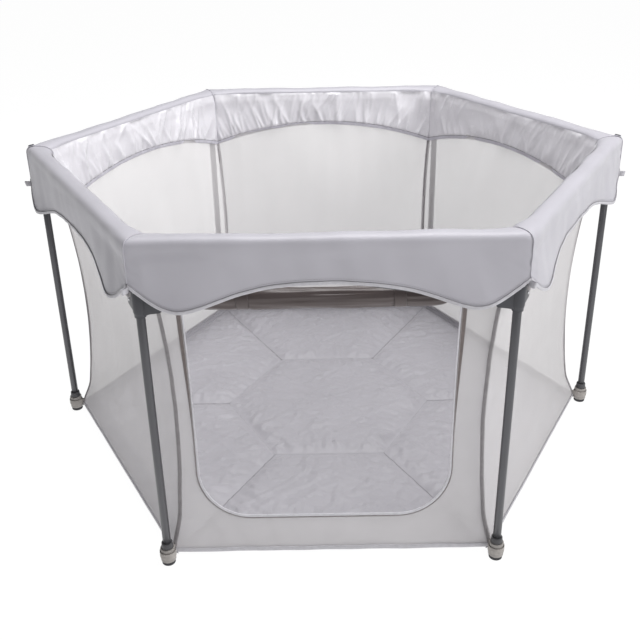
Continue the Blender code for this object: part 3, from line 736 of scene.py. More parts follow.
def hem_loop(leg):
    """A folded tape loop that stands out under the cover's corner, with a short dark strap end below."""
    matrix = leg_frame(leg)
    out = COVER_HALF / COS_30 - 0.001
    level = float(hem_z(0.0)) - 0.0060
    bend = arc((out + LOOP_REACH, 0), LOOP_RADIUS, -90, 90, 8)
    path = np.array([(x, y, level) for x, y in [(out, -0.0012)] + bend + [(out, 0.0012)]])
    loop = ribbon_mesh(moved(path, matrix), heading((0.25, 0.1, 1), matrix), 0.0108, 0.0012)
    down = np.linspace(0, 1, 6)[:, None]
    stub_path = np.array([[out - 0.001, 0.0, level - 0.0040]]) + down * [[0.0015, 0.0, -0.0085]]
    stub = ribbon_mesh(moved(stub_path, matrix), heading((0, 1, 0), matrix), 0.0070, 0.0016)
    made = joined(f"hem_loop_{LEGS[leg]}", [(loop, 0), (stub, 1)], [BINDING, SIDE_TAPE])
    fitted(made, f"leg_{LEGS[leg]}")


# --- mesh walls ---

WALL_COLUMNS, WALL_ROWS = 90, 60
WALL_CALM_Z, WALL_CALM_RISE = 0.06, 0.16      # ripples start above this height, and are full after this rise
CORNER_RISE, DOOR_RISE = 0.06, 0.05           # they grow as slowly from a corner and from the doorway's edge
UNDER_BAND, DOOR_OVERLAP = 0.004, 0.012       # how far the wall and the doorway's edge go on above their tops
# The share of the doorway's corner that faces the wall's side edge, and the share of its height that reaches
# down to the wall's bottom corner.
CORNER_SHARE, CORNER_DROP = 0.30, 0.72
HEM_TURNED_IN = 0.0125                        # cloth that runs in from the wall's bottom edge, under the pad


def wall_surface(x, z, side):
    """A point of the wall, with slack vertical ripples that fade at its sewn edges."""
    y = wall_y(z)
    place = stacked(x, y, z)
    inside = smooth_step((z - WALL_CALM_Z) / WALL_CALM_RISE) * smooth_step(from_corner(x) / CORNER_RISE)
    slack = ripple("wall_slack", place, side) + ripple("wall_broad", place, side)
    if side == DOOR_SIDE:
        slack = slack * smooth_step(np.abs(np.abs(x - DOOR_CENTRE) - DOOR_HALF) / DOOR_RISE)
    return stacked(x, y + slack * inside, z)


def plain_wall(side):
    """A whole wall, from under the inner band down to its hem."""
    share = side_columns(WALL_COLUMNS)
    nominal_x = share * SIDE
    top = band_z(nominal_x) + UNDER_BAND
    down = np.linspace(0, 1, WALL_ROWS)[:, None]
    z = top + (WALL_BOTTOM_Z - top) * down
    x = mitred_x(share[None, :], wall_y(z))
    return wall_mesh(x, z, side)


def wall_mesh(x, z, side):
    """The part of a wall that covers a grid of x and z."""
    return sheet_mesh("wall", moved(wall_surface(x, z, side), side_frame(side)), stacked(x, z))


def door_outline(grow=0.0):
    """(x, z) of the doorway's edge from its top left round the sill to its top right."""
    left, right = DOOR_CENTRE - DOOR_HALF - grow, DOOR_CENTRE + DOOR_HALF + grow
    low = DOOR_SILL_Z + DOOR_CORNER
    radius = DOOR_CORNER + grow
    inner_left, inner_right = DOOR_CENTRE - DOOR_HALF + DOOR_CORNER, DOOR_CENTRE + DOOR_HALF - DOOR_CORNER
    sides = np.linspace(DOOR_TOP_Z + DOOR_OVERLAP, low, 26)
    outline = [(left, z) for z in sides]
    outline += arc((inner_left, low), radius, 180, 270, 16)[1:]
    outline += [(x, DOOR_SILL_Z - grow) for x in np.linspace(inner_left, inner_right, 30)[1:]]
    outline += arc((inner_right, low), radius, 270, 360, 16)[1:]
    outline += [(right, z) for z in sides[::-1][1:]]
    return np.array(outline)


def wall_edge_beside(x, z):
    """The point of the front wall's outer edge that lies across from a point of the doorway's edge."""
    low = DOOR_SILL_Z + DOOR_CORNER
    start = DOOR_CENTRE - DOOR_HALF + DOOR_CORNER * CORNER_SHARE
    end = DOOR_CENTRE + DOOR_HALF - DOOR_CORNER * CORNER_SHARE
    if z < low and start <= x <= end:
        edge = float(wall_y(WALL_BOTTOM_Z)) * MITRE
        return edge + (SIDE - 2 * edge) * (x - start) / (end - start), WALL_BOTTOM_Z
    if z < low:
        z = low + (WALL_BOTTOM_Z - low) * min((low - z) / (DOOR_CORNER * CORNER_DROP), 1.0)
    inset = float(wall_y(z)) * MITRE
    return (inset if x < DOOR_CENTRE else SIDE - inset), z


def door_wall(side):
    """The front wall: a frame of mesh round the doorway and a strip above it."""
    inner = door_outline()
    outer = np.array([wall_edge_beside(x, z) for x, z in inner])
    across = np.linspace(0, 1, 16)[:, None, None]
    flat = inner[None] + (outer - inner)[None] * across
    share = side_columns(60)
    down = np.linspace(0, 1, 6)[:, None]
    top = band_z(share * SIDE) + UNDER_BAND
    z = top + np.minimum(DOOR_TOP_Z + DOOR_OVERLAP - top, 0) * down
    strip_x = mitred_x(share[None, :], wall_y(z))
    return wall_mesh(flat[..., 0], flat[..., 1], side), wall_mesh(strip_x, z, side)


def wall_piece(side):
    """The mesh wall of one side, with its hem."""
    name = f"mesh_wall_{PANELS[side]}"
    if side == DOOR_SIDE:
        frame_part, strip = door_wall(side)
        made = joined(name, [(frame_part, 0), (strip, 0)], [WALL_NET])
    else:
        made = new_object(name, plain_wall(side), WALL_NET)
    matrix = side_frame(side)
    z = np.full(WALL_COLUMNS, WALL_BOTTOM_Z)
    edge = stacked(mitred_x(side_columns(WALL_COLUMNS), wall_y(z)), wall_y(z) - 0.0003, z + 0.001)
    edge[:, 2] += ripple("wall_hem", edge, side)
    parts = [(ribbon_mesh(moved(edge, matrix), heading((0, -0.12, 1), matrix), 0.0095, 0.0016), 0),
             (stitch_mesh(moved(edge + [0, -0.0010, 0.0030], matrix), heading((0, -1, 0), matrix)), 1),
             (ribbon_mesh(moved(edge + [0, 0.0044, -0.0082], matrix), heading((0, 0.7, -0.7), matrix),
                          HEM_TURNED_IN, 0.0007), 2)]
    hem = joined(f"wall_hem_{PANELS[side]}", parts, [BINDING, THREAD, FLOOR_CLOTH])
    sewn_on((made, hem), side)


def side_binding(leg):
    """The tape down the corner where two walls meet, folded round the seam."""
    z = np.linspace(BAND_CORNER_Z - 0.004, WALL_BOTTOM_Z - 0.003, 60)
    matrix = leg_frame(leg)
    sway = ripple("side_tape", stacked(z, 0, 0), leg)
    parts = []
    for way in (-1, 1):
        side_way = np.array([-0.5, way * COS_30, 0.0])
        path = stacked(0.0012 - wall_y(z) / COS_30, sway, z) + side_way * 0.0024
        parts.append((ribbon_mesh(moved(path, matrix), heading(side_way, matrix), 0.0056, 0.0014), 0))
        stitches = path + side_way * 0.0016 + [0.0009, 0, 0]
        parts.append((stitch_mesh(moved(stitches, matrix), heading((1, 0, 0), matrix), pitch=0.005), 1))
    fitted(joined(f"side_tape_{LEGS[leg]}", parts, [SIDE_TAPE, THREAD]), f"leg_{LEGS[leg]}")


# --- door ---

def door_edge():
    """The zip round the doorway: a dark tape that narrows downwards, its coil and a pale inner piping."""
    matrix = side_frame(DOOR_SIDE)
    edge = door_outline()
    away = (door_outline(0.001) - edge) / 0.001          # the way from the doorway into the wall
    height = edge[:, 1]
    tape = 0.0022 + 0.0064 * smooth_step((height - 0.22) / 0.26)
    piping = 0.0052 - 0.0022 * smooth_step((height - 0.10) / 0.20)

    def on_wall(grow, out):
        """The doorway's edge moved into the wall by grow and off its outer face by out."""
        outline = edge + away * np.broadcast_to(grow, height.shape)[:, None]
        surface = wall_surface(outline[:, 0], outline[:, 1], DOOR_SIDE)
        return moved(surface + [0, -out, 0], matrix)

    centre = on_wall(0.0, 0.0012)
    across = on_wall(0.003, 0.0012) - centre
    outward = heading((0, -1, 0), matrix)
    parts = [(ribbon_mesh(on_wall(tape / 2 - 0.0012, 0.0010), across, tape, 0.0012), 0),
             (coil_mesh(centre, 0.0010, 0.0021), 1),
             (ribbon_mesh(on_wall(-0.0014 - piping / 2, 0.0012), across, piping, 0.0018), 2),
             (stitch_mesh(on_wall(tape - 0.0022, 0.0017), outward), 3)]
    made = joined("door_zip", parts, [ZIP_TAPE, ZIP_TEETH, BRIGHT_TAPE, THREAD])
    sewn_on([made], DOOR_SIDE)


def coil_mesh(path, radius, pitch):
    """The zip's coil: a bead whose radius swells once for each tooth."""
    steps = path_length(path)
    fine = np.arange(0, steps[-1], pitch / 3)
    line = stacked(*(np.interp(fine, steps, path[:, k]) for k in range(3)))
    mesh = cord_mesh(line, 1.0, corners=6)
    points = np.zeros(len(mesh.vertices) * 3)
    mesh.vertices.foreach_get("co", points)
    points = points.reshape(len(line), 6, 3)
    swell = radius * (0.78 + 0.22 * np.cos(2 * math.pi * fine / pitch))
    points = line[:, None] + (points - line[:, None]) * swell[:, None, None]
    mesh.vertices.foreach_set("co", points.ravel())
    return mesh


ROLL_RINGS, ROLL_CORNERS = 180, 64
TIE_GRIP, TIE_SQUEEZE, ROLL_SAG = 0.012, 0.10, 0.0022   # how wide and deep a tie presses in, and the sag
# The spiral's free edge, the number of gathers round the roll, their depth, and how far they run from an end.
ROLL_STEP, GATHER_FOLDS, GATHER_SHARE, END_REACH = 0.10, 9, 0.05, 0.10


def door_roll():
    """The rolled-up door: a soft spiral roll that sags between its ties, with gathered ends."""
    matrix = side_frame(DOOR_SIDE)
    along = np.linspace(-1, 1, ROLL_RINGS)
    x = DOOR_CENTRE + ROLL_HALF * along
    turn = np.linspace(0, 2 * math.pi, ROLL_CORNERS, endpoint=False)
    tie_pull = sum(np.exp(-((x - DOOR_CENTRE - k * TIE_FROM_CENTRE) / TIE_GRIP) ** 2) for k in (-1, 1))
    close_ends = (1 - np.abs(along) ** 26) ** 0.5
    swell = (1.03 - TIE_SQUEEZE * tie_pull) * np.maximum(close_ends, 0.12)
    sag = -ROLL_SAG * (1 - np.abs(along) ** 2) * (1 - tie_pull)
    place = stacked(x[:, None], np.cos(turn) * 0.02, np.sin(turn) * 0.02)
    creases = ripple("door_creases", place) + ripple("door_broad", place)
    gather = np.sin(turn * GATHER_FOLDS + ripple("door_gathers", place)) * GATHER_SHARE * (
        np.exp(-(1 - np.abs(along)) / END_REACH) + 0.7 * tie_pull)[:, None]
    spiral = 1.0 - ROLL_STEP * (turn / (2 * math.pi))
    radius = swell[:, None] * (spiral + creases + gather)
    y = ROLL_Y + ROLL_DEPTH * radius * np.cos(turn)
    z = ROLL_Z + sag[:, None] + ROLL_HEIGHT * radius * np.sin(turn)
    points = stacked(x[:, None], y, z)
    uv = stacked(points[..., 0], turn * 0.017)
    mesh = mesh_from("roll", moved(points, matrix), tube_faces(ROLL_RINGS, ROLL_CORNERS), uv)
    made = new_object("rolled_door", mesh, ROLL_SATIN)
    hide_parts("door_roll")
    sewn_on([made], DOOR_SIDE)


def door_tie(way):
    """A strap round the roll, sewn under the cover."""
    matrix = side_frame(DOOR_SIDE)
    x = DOOR_CENTRE + way * TIE_FROM_CENTRE
    angles = np.radians(np.linspace(-250, 70, 40))
    path = stacked(x, ROLL_Y + (ROLL_DEPTH + 0.0003) * np.cos(angles),
                   ROLL_Z - 0.0005 + (ROLL_HEIGHT + 0.0003) * np.sin(angles))
    strap = ribbon_mesh(moved(path, matrix), heading((1, 0, 0), matrix), TIE_WIDTH, 0.0012)
    name = "left" if way < 0 else "right"
    made = new_object(f"door_strap_{name}", strap, ROLL_SATIN)
    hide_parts(f"door_tie_{name}")
    sewn_on([made], DOOR_SIDE)


# --- floor ---

FLOOR_STEPS = 110
QUILT_STEP, QUILT_REACH = 0.0085, 0.6035      # spacing of the simulated sheet's grid, and its half width
QUILT_FRAMES = 24
QUILT_GROWTH, QUILT_LIFT = 0.012, 0.25        # how much too large the sheet is, and what pushes it up
QUILT_PUFF, QUILT_SOFTNESS = 0.0062, 0.007    # the pad's highest puff, and how soon the filling holds it back
QUILT_DETAIL, QUILT_DETAIL_MOST = 1.9, 0.0035  # the puckers' strength, and the most that one stands out
GROOVE_DEPTH, GROOVE_WIDTH, CREASE_FREE = 0.0014, 0.004, 0.022   # beside a seam
SEAM_LEVEL = FLOOR_TOP - 0.0060               # height of the pad along its seams
SEAM_SHORT = 0.985                            # the spokes' seams start and end a little short
# Families of creases pressed into the pad by folding: lean in degrees, length, width and height, and a seed
FLOOR_CREASES = ((37, 0.20, 0.040, 0.0026, 303), (-25, 0.14, 0.030, 0.0020, 304),
                 (85, 0.10, 0.024, 0.0017, 305), (8, 0.12, 0.020, 0.0014, 306))
CREASE_SHARPNESS = 0.045


def seam_distance(x, y):
    """Distance from a point of the pad to its nearest seam: the hexagon, the spokes or the outer edge."""
    distance = np.hypot(x, y)
    folded = (np.arctan2(y, x) % math.radians(60)) - math.radians(30)
    apothem = distance * np.cos(folded)
    to_hexagon = np.abs(apothem - FLOOR_HEXAGON * COS_30)
    to_spoke = distance * np.abs(np.sin(math.radians(30) - np.abs(folded)))
    to_spoke = np.where(distance > FLOOR_HEXAGON * SEAM_SHORT, to_spoke, FLOOR_HEXAGON)
    to_edge = np.maximum(APOTHEM - FLOOR_EDGE_Y - apothem, 0.0)
    return np.minimum(np.minimum(to_hexagon, to_spoke), to_edge), apothem


def simulated_sheet(points, held, used):
    """Runs the cloth simulation: the sheet is a little too large for its seams, and rises into puckers."""
    faces = grid_faces(*points.shape[:2])
    mesh = mesh_from("quilt", points, faces[used.ravel()[faces].all(1)])
    sheet = bpy.data.objects.new("quilt", mesh)
    scene = bpy.context.scene
    scene.collection.objects.link(sheet)
    sheet.vertex_groups.new(name="seams").add(np.flatnonzero(held).tolist(), 1.0, "REPLACE")
    cloth = sheet.modifiers.new("cloth", "CLOTH")
    settings = cloth.settings
    settings.quality, settings.mass, settings.air_damping = 5, 0.15, 2.0
    settings.tension_stiffness = settings.compression_stiffness = 12
    settings.shear_stiffness, settings.bending_stiffness = 4, 0.02
    settings.vertex_group_mass, settings.shrink_min = "seams", -QUILT_GROWTH
    settings.effector_weights.gravity = -QUILT_LIFT
    cloth.point_cache.frame_start, cloth.point_cache.frame_end = 1, QUILT_FRAMES
    for step in range(1, QUILT_FRAMES + 1):
        scene.frame_set(step)
    risen = np.zeros(points.size)
    sheet.evaluated_get(bpy.context.evaluated_depsgraph_get()).to_mesh().vertices.foreach_get("co", risen)
    bpy.data.objects.remove(sheet)
    scene.frame_set(1)
    return risen.reshape(points.shape)[..., 2]


def quilt_heights():
    """Grid of heights of the pad's quilted top above its seams."""
    line = np.arange(-QUILT_REACH, QUILT_REACH + QUILT_STEP / 2, QUILT_STEP)
    x, y = np.meshgrid(line, line)
    nearest, apothem = seam_distance(x, y)
    place = stacked(x, y, 0.0)
    uneven = ripple("quilt_broad", place) + ripple("quilt_fine", place)
    start = place + stacked(0, 0, uneven * np.clip(nearest / 0.03, 0, 1))
    limit = APOTHEM - FLOOR_EDGE_Y + QUILT_STEP
    risen = simulated_sheet(start, (nearest < QUILT_STEP * 0.6) | (apothem > limit), apothem < limit)
    dome = risen
    for _ in range(6):
        for axis in (0, 1):
            dome = (np.roll(dome, 1, axis) + 2 * dome + np.roll(dome, -1, axis)) / 4
    puff = QUILT_PUFF * (1 - np.exp(-np.maximum(dome, 0) / QUILT_SOFTNESS))
    return puff + np.clip(QUILT_DETAIL * (risen - dome), -QUILT_DETAIL_MOST, QUILT_DETAIL_MOST)


def pressed_creases(x, y):
    """Long soft creases that cross the pad in a few directions."""
    height = ripple("pad_broad", stacked(x, y, 0.0))
    for lean, length, width, tall, seed in FLOOR_CREASES:
        a = math.radians(lean)
        slanted = stacked(x * math.cos(a) + y * math.sin(a), y * math.cos(a) - x * math.sin(a), 0.0)
        across = noise_at(slanted, (length, width, 1), seed) / CREASE_SHARPNESS
        height = height + np.exp(-across ** 2) * tall
    return height


QUILT = quilt_heights()


def floor_height(x, y):
    """Height of the pad's top at world x, y, from the simulated sheet."""
    u, v = (x + QUILT_REACH) / QUILT_STEP, (y + QUILT_REACH) / QUILT_STEP
    i, j = np.floor(u).astype(int), np.floor(v).astype(int)
    u, v = u - i, v - j
    lower = QUILT[j, i] * (1 - u) + QUILT[j, i + 1] * u
    upper = QUILT[j + 1, i] * (1 - u) + QUILT[j + 1, i + 1] * u
    nearest = seam_distance(x, y)[0]
    groove = GROOVE_DEPTH * (1 - np.exp(-nearest / GROOVE_WIDTH))
    creases = pressed_creases(x, y) * smooth_step(nearest / CREASE_FREE)
    return SEAM_LEVEL + groove + creases + lower * (1 - v) + upper * v


def floor_seams(a, b):
    """The sewn lines of one sector, whose outer corners are a and b: its hexagon edge and its two spokes."""
    share = FLOOR_HEXAGON / np.linalg.norm(a)
    inward = (a + b) / np.linalg.norm(a + b)
    parts = []
    for start, end, shift in ((a * share, b * share, 0.0), (a * share, a * SEAM_SHORT, 0.0008),
                              (b * share, b * SEAM_SHORT, 0.0008)):
        line = start + (end - start) * np.linspace(0, 1, 60)[:, None] + inward * shift
        height = floor_height(line[:, 0], line[:, 1])
        parts.append((cord_mesh(np.column_stack([line, height + 0.0003]), 0.0006, 6), 1))
    return parts


def floor_piece(side):
    """One sector of the floor pad, from the middle to its side, closed underneath."""
    corners = [leg_frame(k).translation for k in (side, side + 1)]
    reach = (APOTHEM - FLOOR_EDGE_Y) / APOTHEM
    a, b = [np.array((c.x, c.y)) * reach for c in corners]
    flat, index = [], {}
    for i in range(FLOOR_STEPS + 1):
        for j in range(i + 1):
            along = j / i if i else 0.0
            index[i, j] = len(flat)
            flat.append((a + (b - a) * along) * (i / FLOOR_STEPS))
    flat = np.array(flat)
    top = np.column_stack([flat, floor_height(flat[:, 0], flat[:, 1])])
    faces = []
    for i in range(FLOOR_STEPS):
        for j in range(i + 1):
            faces.append((index[i, j], index[i + 1, j], index[i + 1, j + 1]))
            if j < i:
                faces.append((index[i, j], index[i + 1, j + 1], index[i, j + 1]))
    rim = [index[i, 0] for i in range(FLOOR_STEPS)] + [index[FLOOR_STEPS, j] for j in range(FLOOR_STEPS)]
    rim += [index[i, i] for i in range(FLOOR_STEPS, 0, -1)]
    base = len(top)
    under = top[rim].copy()
    under[:, 2] = FLOOR_BOTTOM
    faces += [(rim[k], base + k, base + (k + 1) % len(rim), rim[(k + 1) % len(rim)]) for k in range(len(rim))]
    faces.append(tuple(base + k for k in range(len(rim)))[::-1])
    points = np.vstack([top, under])
    mesh = mesh_from("floor", points, faces, points[:, :2])
    made = joined(f"floor_pad_{PANELS[side]}", [(mesh, 0)] + floor_seams(a, b), [FLOOR_CLOTH, FLOOR_SEAM])
    made.data.set_sharp_from_angle(angle=math.radians(50))
    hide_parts(f"floor_panel_{PANELS[side]}")
    folds_along(made, side, body=f"floor_{PANELS[side]}")


# --- hardware ---

def leg_tube(leg):
    """An open tube with slightly rounded ends."""
    low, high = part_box(f"leg_{LEGS[leg]}")
    r, inner = TUBE_RADIUS, TUBE_RADIUS - 0.001
    profile = [(inner, low.z), (r - 0.0003, low.z), (r, low.z + 0.0003), (r, high.z - 0.0003),
               (r - 0.0003, high.z), (inner, high.z), (inner, low.z)]
    made = new_object(f"tube_{LEGS[leg]}", turned_mesh(profile, 48, leg_frame(leg)), TUBE_PAINT)
    fitted(made, f"leg_{LEGS[leg]}", node=f"leg_{LEGS[leg]}", sharp=50)


def wing_outline(bottom, top):
    """Outline of one cheek of a slider's rod holder, with a rounded nose and a sloping underside."""
    reach = PIN_OFFSET + 0.0072
    nose = arc((reach - 0.0045, bottom + 0.0115), 0.0045, -90, 0, 6)
    shoulder = arc((reach - 0.0060, top - 0.0065), 0.0060, 0, 90, 6)
    return [(0.0060, bottom + 0.0010)] + nose + shoulder + [(0.0060, top)]


def rivet_mesh(place, radius, tall):
    """A domed rivet head with a rim, on the local Z axis."""
    dome = [(radius * math.cos(math.radians(a)) * 0.72, tall * (0.35 + 0.65 * math.sin(math.radians(a))))
            for a in (0, 25, 50, 72, 90)]
    rim = [(0, -0.0006), (radius, -0.0006), (radius, tall * 0.25), (radius * 0.92, tall * 0.4),
           (radius * 0.78, tall * 0.42)]
    return turned_mesh(rim + dome, 24, place)


def slider(leg):
    """The sliding bracket: turned sleeve with a flared mouth and a U-shaped rod holder along each side."""
    matrix = leg_frame(leg)
    bottom, top = SLIDER_BOTTOM, SLIDER_TOP
    bore = TUBE_RADIUS + 0.0003
    sleeve = [(bore, bottom), (0.0092, bottom), (0.0098, bottom + 0.0006), (0.0098, bottom + 0.0055),
              (0.0102, bottom + 0.0062), (0.0112, bottom + 0.0100), (0.0116, bottom + 0.020),
              (0.0114, top - 0.012), (0.0102, top - 0.006), (0.0100, top - 0.0008), (0.0094, top),
              (bore, top), (bore, bottom)]
    parts = [(turned_mesh(sleeve, 48, matrix), 0)]
    for angle in (120, -120):
        along = matrix @ Matrix.Rotation(math.radians(angle), 4, "Z")
        for way in (-1, 1):
            cheek = along @ Matrix.Translation((0, way * 0.0060, 0))
            parts.append((plate_mesh(wing_outline(bottom + 0.003, bottom + 0.040), 0.0022, 0.0005, cheek), 0))
            head = along @ Matrix.Translation((PIN_OFFSET, way * 0.0071, SLIDER_PIN_Z)) @ Matrix.Rotation(
                math.radians(-90 * way), 4, "X")
            parts.append((rivet_mesh(head, 0.0034, 0.0014), 1))
        web = [(0.0060, bottom + 0.0075), (PIN_OFFSET + 0.0025, bottom + 0.0100),
               (PIN_OFFSET + 0.0060, bottom + 0.0125), (PIN_OFFSET + 0.0060, bottom + 0.0105),
               (PIN_OFFSET + 0.0025, bottom + 0.0080), (0.0060, bottom + 0.0048)]
        parts.append((plate_mesh(web, 0.0120, 0.0003, along, steps=1), 0))
        pin = along @ Matrix.Translation((PIN_OFFSET, 0, SLIDER_PIN_Z)) @ TIPPED
        parts.append((turned_mesh([(0, -0.006), (0.0023, -0.006), (0.0023, 0.006), (0, 0.006)], 20, pin), 1))
    made = joined(f"sliding_bracket_{LEGS[leg]}", parts, [BRACKET_PLASTIC, BRIGHT_STEEL])
    fitted(made, f"slider_{LEGS[leg]}", node=f"slider_{LEGS[leg]}", sharp=38)


def foot(leg):
    """Rubber pad, pale cup with a thin rim and a dark collar round the tube."""
    matrix = leg_frame(leg)
    pad = [(0, 0), (0.0112, 0), (0.0122, 0.0006), (0.0126, 0.0016), (0.0126, 0.0078), (0.0, 0.0082)]
    cup = [(0.0, 0.0078), (0.0134, 0.0078), (0.0141, 0.0086), (0.0142, 0.0100), (0.0136, 0.0210),
           (0.0130, 0.0335), (0.0133, 0.0340), (0.0133, 0.0352), (0.0126, 0.0360), (0.0, 0.0360)]
    collar = [(0.0, 0.0358), (0.0108, 0.0358), (0.0112, 0.0364), (0.0109, 0.0400), (0.0104, 0.0440),
              (0.0102, 0.0470), (0.0096, 0.0480), (0.0, 0.0480)]
    parts = [(turned_mesh(profile, 44, matrix), slot) for slot, profile in enumerate((pad, cup, collar))]
    made = joined(f"foot_cup_{LEGS[leg]}", parts, [FOOT_RUBBER, CUP_PLASTIC, COLLAR_PLASTIC])
    fitted(made, f"leg_{LEGS[leg]}", node=f"foot_{LEGS[leg]}", sharp=40)


STRAP_RADIUS, STRAP_LEVEL = 0.0146, 0.0225


def foot_strap(leg):
    """A webbing loop round the foot that runs in to the wall's lower corner."""
    level = STRAP_LEVEL
    around = [(x, y, level) for x, y in arc((0, 0), STRAP_RADIUS, -128, 128, 33)]
    wall = float(wall_y(level)) / COS_30
    tail = [(-wall * t, -0.0040 * (1 - t) - 0.0012, level - 0.002 * t) for t in (0.98, 0.88, 0.78)]
    path = np.array(tail + around + [(x, -y, z) for x, y, z in tail[::-1]])
    strap = ribbon_mesh(moved(path, leg_frame(leg)), UP, 0.0135, 0.0013)
    fitted(new_object(f"foot_strap_{LEGS[leg]}", strap, LOOP_WEBBING), f"leg_{LEGS[leg]}")


def lock_button(leg):
    """The sprung pin: a domed steel button on the leg's outer face."""
    low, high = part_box(f"lock_button_{LEGS[leg]}")
    level = (low.z + high.z) / 2
    radius = (high.z - low.z) / 2
    place = leg_frame(leg) @ Matrix.Translation((0, 0, level)) @ Matrix.Rotation(math.radians(90), 4, "Y")
    profile = [(0, 0.0042), (radius * 0.9, 0.0042), (radius * 0.97, 0.0046), (radius * 0.97, 0.0096),
               (radius * 0.85, 0.0104), (radius * 0.5, 0.0109), (0, 0.0110)]
    made = new_object(f"sprung_button_{LEGS[leg]}", turned_mesh(profile, 28, place), BRIGHT_STEEL)
    fitted(made, f"lock_button_{LEGS[leg]}", node=f"lock_button_{LEGS[leg]}")


def zip_runner():
    """The zip's slider body with the bridge for its pull, in the box of its CAD node."""
    low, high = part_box("zip_slider")
    centre, size = (low + high) / 2, high - low
    w, d, h = size.x / 2, size.y, size.z / 2
    shield = [(-w * 0.55, -h), (w * 0.55, -h), (w, h * 0.1), (w * 0.9, h * 0.8), (w * 0.3, h), (-w * 0.3, h),
              (-w * 0.9, h * 0.8), (-w, h * 0.1)]
    parts = [(plate_mesh(shield, d * 0.28, 0.0004, Matrix.Translation(centre + Vector((0, y, 0)))), 0)
             for y in (-d * 0.18, d * 0.30)]
    core = plate_mesh([(x * 0.30, z * 0.8) for x, z in shield], d * 0.7, 0.0002, Matrix.Translation(centre))
    bridge = [(-h * 0.55, 0.0), (-h * 0.45, d * 0.18), (h * 0.45, d * 0.18), (h * 0.55, 0.0)]
    stand = Matrix.Translation(centre + Vector((0, -d * 0.30, 0))) @ Matrix(
        ((0, -1, 0, 0), (0, 0, -1, 0), (1, 0, 0, 0), (0, 0, 0, 1)))
    parts += [(core, 0), (plate_mesh(bridge, w * 0.45, 0.0003, stand), 0)]
    made = joined("zip_runner", parts, [BRIGHT_STEEL])
    fitted(made, "zip_slider", node="zip_slider", sharp=38)


def zip_tag():
    """The zip's pull: a flat tag with a round hole at its top and another low down."""
    low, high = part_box("zip_pull")
    centre, size = (low + high) / 2, high - low
    w, h = size.x / 2, size.z / 2
    bevel, top_radius = 0.0002, w * 0.8
    outline = arc((0, -h + w), w, 180, 360, 12) + arc((0, h - top_radius), top_radius, 0, 180, 12)
    curve = bpy.data.curves.new("tag", "CURVE")
    curve.dimensions, curve.fill_mode, curve.extrude = "2D", "BOTH", size.y / 2 - bevel
    curve.bevel_depth, curve.bevel_resolution = bevel, 2
    holes = [arc((0, h - top_radius), w * 0.38, 0, 360, 20)[:-1], arc((0, -h + w), w * 0.42, 0, 360, 20)[:-1]]
    for ring in [[(x * (1 - bevel / w), z * (1 - bevel / h)) for x, z in outline]] + holes:
        spline = curve.splines.new("POLY")
        spline.points.add(len(ring) - 1)
        for point, (x, z) in zip(spline.points, ring):
            point.co = (x, z, 0, 1)
        spline.use_cyclic_u = True
    holder = bpy.data.objects.new("tag", curve)
    bpy.context.scene.collection.objects.link(holder)
    bpy.context.view_layer.update()
    mesh = bpy.data.meshes.new_from_object(holder.evaluated_get(bpy.context.evaluated_depsgraph_get()))
    bpy.data.objects.remove(holder)
    weld(mesh, 0.00001)
    mesh.transform(Matrix.Translation(centre) @ TIPPED)
    fitted(new_object("zip_tag", mesh, BRIGHT_STEEL), "zip_pull", node="zip_pull", sharp=38)


def finish_cad_nodes():
    """The rods' CAD nodes, whose shape is right, stay with a better finish."""
    for name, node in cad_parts.items():
        if name.startswith("rod_"):
            for slot in node.material_slots:
                slot.material = ROD_STEEL


# --- studio ---

# Each lamp's name, place, aim, size and power
LAMPS = (
    ("top_soft", (0.3, 0.3, 3.3), (0, 0, 0.3), (2.0, 1.6), 96),
    ("right_key", (2.7, -1.2, 2.3), (0, 0, 0.4), (1.2, 1.2), 44),
    ("near_right", (1.35, -1.95, 1.25), (0.1, -0.3, 0.5), (0.7, 0.7), 8),
)
STUDIO_REACH, STUDIO_LEVEL, STUDIO_GLOW, WORLD_STRENGTH = 14.0, -0.0005, 0.97, 0.16
CAMERA_PLACE, CAMERA_LENS, CAMERA_SENSOR, CAMERA_SHIFT_Y = (-0.0112, -1.7586, 1.1402), 47.92, 36.0, -0.0625
CAMERA_YAW, CAMERA_PITCH, CAMERA_ROLL = -0.106, 24.69, -1.02   # degrees


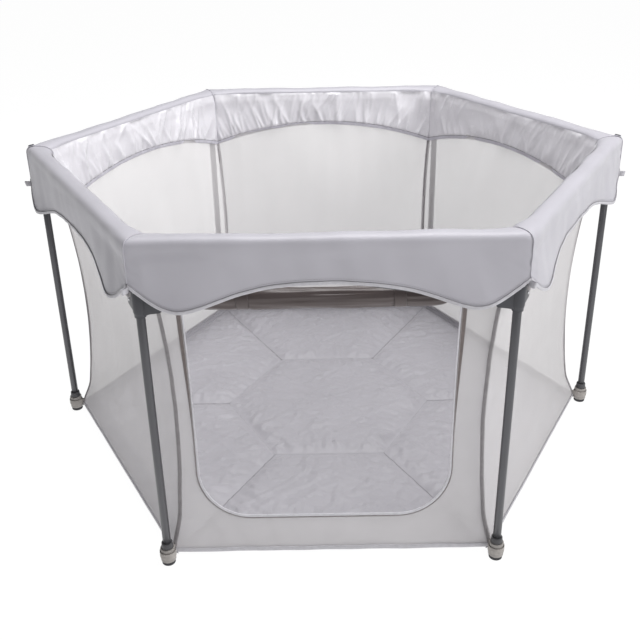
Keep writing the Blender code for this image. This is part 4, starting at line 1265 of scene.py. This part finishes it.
def floor_stage():
    """A wide floor that glows almost white."""
    n = Nodes("studio_floor")
    n.set(Base_Color=(0.08, 0.08, 0.08, 1), Roughness=0.9, Specular_IOR_Level=0.0,
          Emission_Color=(1, 1, 1, 1), Emission_Strength=STUDIO_GLOW)
    corners = np.array([(-1, -1, 0), (1, -1, 0), (1, 1, 0), (-1, 1, 0)]) * STUDIO_REACH + [0, 0, STUDIO_LEVEL]
    new_object("studio_floor", mesh_from("studio_floor", corners, [(0, 1, 2, 3)]), n.material)


def lamp(name, place, aim, size, power):
    light = bpy.data.lights.new(name, "AREA")
    light.shape = "RECTANGLE"
    light.size, light.size_y = size
    light.energy = power
    holder = bpy.data.objects.new(name, light)
    bpy.context.scene.collection.objects.link(holder)
    holder.location = place
    holder.rotation_mode = "QUATERNION"
    holder.rotation_quaternion = (Vector(aim) - Vector(place)).to_track_quat("-Z", "Y")


def studio():
    floor_stage()
    world = bpy.data.worlds.new("studio")
    bpy.context.scene.world = world
    world.use_nodes = True
    background = world.node_tree.nodes["Background"]
    background.inputs["Color"].default_value = (1, 1, 1, 1)
    background.inputs["Strength"].default_value = WORLD_STRENGTH
    for settings in LAMPS:
        lamp(*settings)
    bpy.context.scene.view_settings.view_transform = "Standard"


def camera():
    """The main view: from the front and above, rolled about one degree."""
    data = bpy.data.cameras.new("camera")
    data.lens, data.sensor_width, data.shift_y = CAMERA_LENS, CAMERA_SENSOR, CAMERA_SHIFT_Y
    yaw, pitch, roll = (math.radians(angle) for angle in (CAMERA_YAW, CAMERA_PITCH, CAMERA_ROLL))
    ahead = Vector((math.sin(yaw) * math.cos(pitch), math.cos(yaw) * math.cos(pitch), -math.sin(pitch)))
    right = Vector((math.cos(yaw), -math.sin(yaw), 0))
    up = right.cross(ahead)
    across = right * math.cos(roll) + up * math.sin(roll)
    tall = up * math.cos(roll) - right * math.sin(roll)
    holder = bpy.data.objects.new("camera", data)
    bpy.context.scene.collection.objects.link(holder)
    place = Matrix((across, tall, -ahead)).transposed().to_4x4()
    place.translation = CAMERA_PLACE
    holder.matrix_world = place
    bpy.context.scene.camera = holder


# --- build ---

for side in range(6):
    for make in (cover_piece, band_piece, wall_piece, floor_piece):
        make(side)
for leg in range(6):
    for make in (corner_piping, top_bracket, hem_loop, side_binding, leg_tube, slider, foot, foot_strap,
                 lock_button):
        make(leg)
door_edge()
door_roll()
door_tie(-1)
door_tie(1)
zip_runner()
zip_tag()
finish_cad_nodes()
studio()
camera()
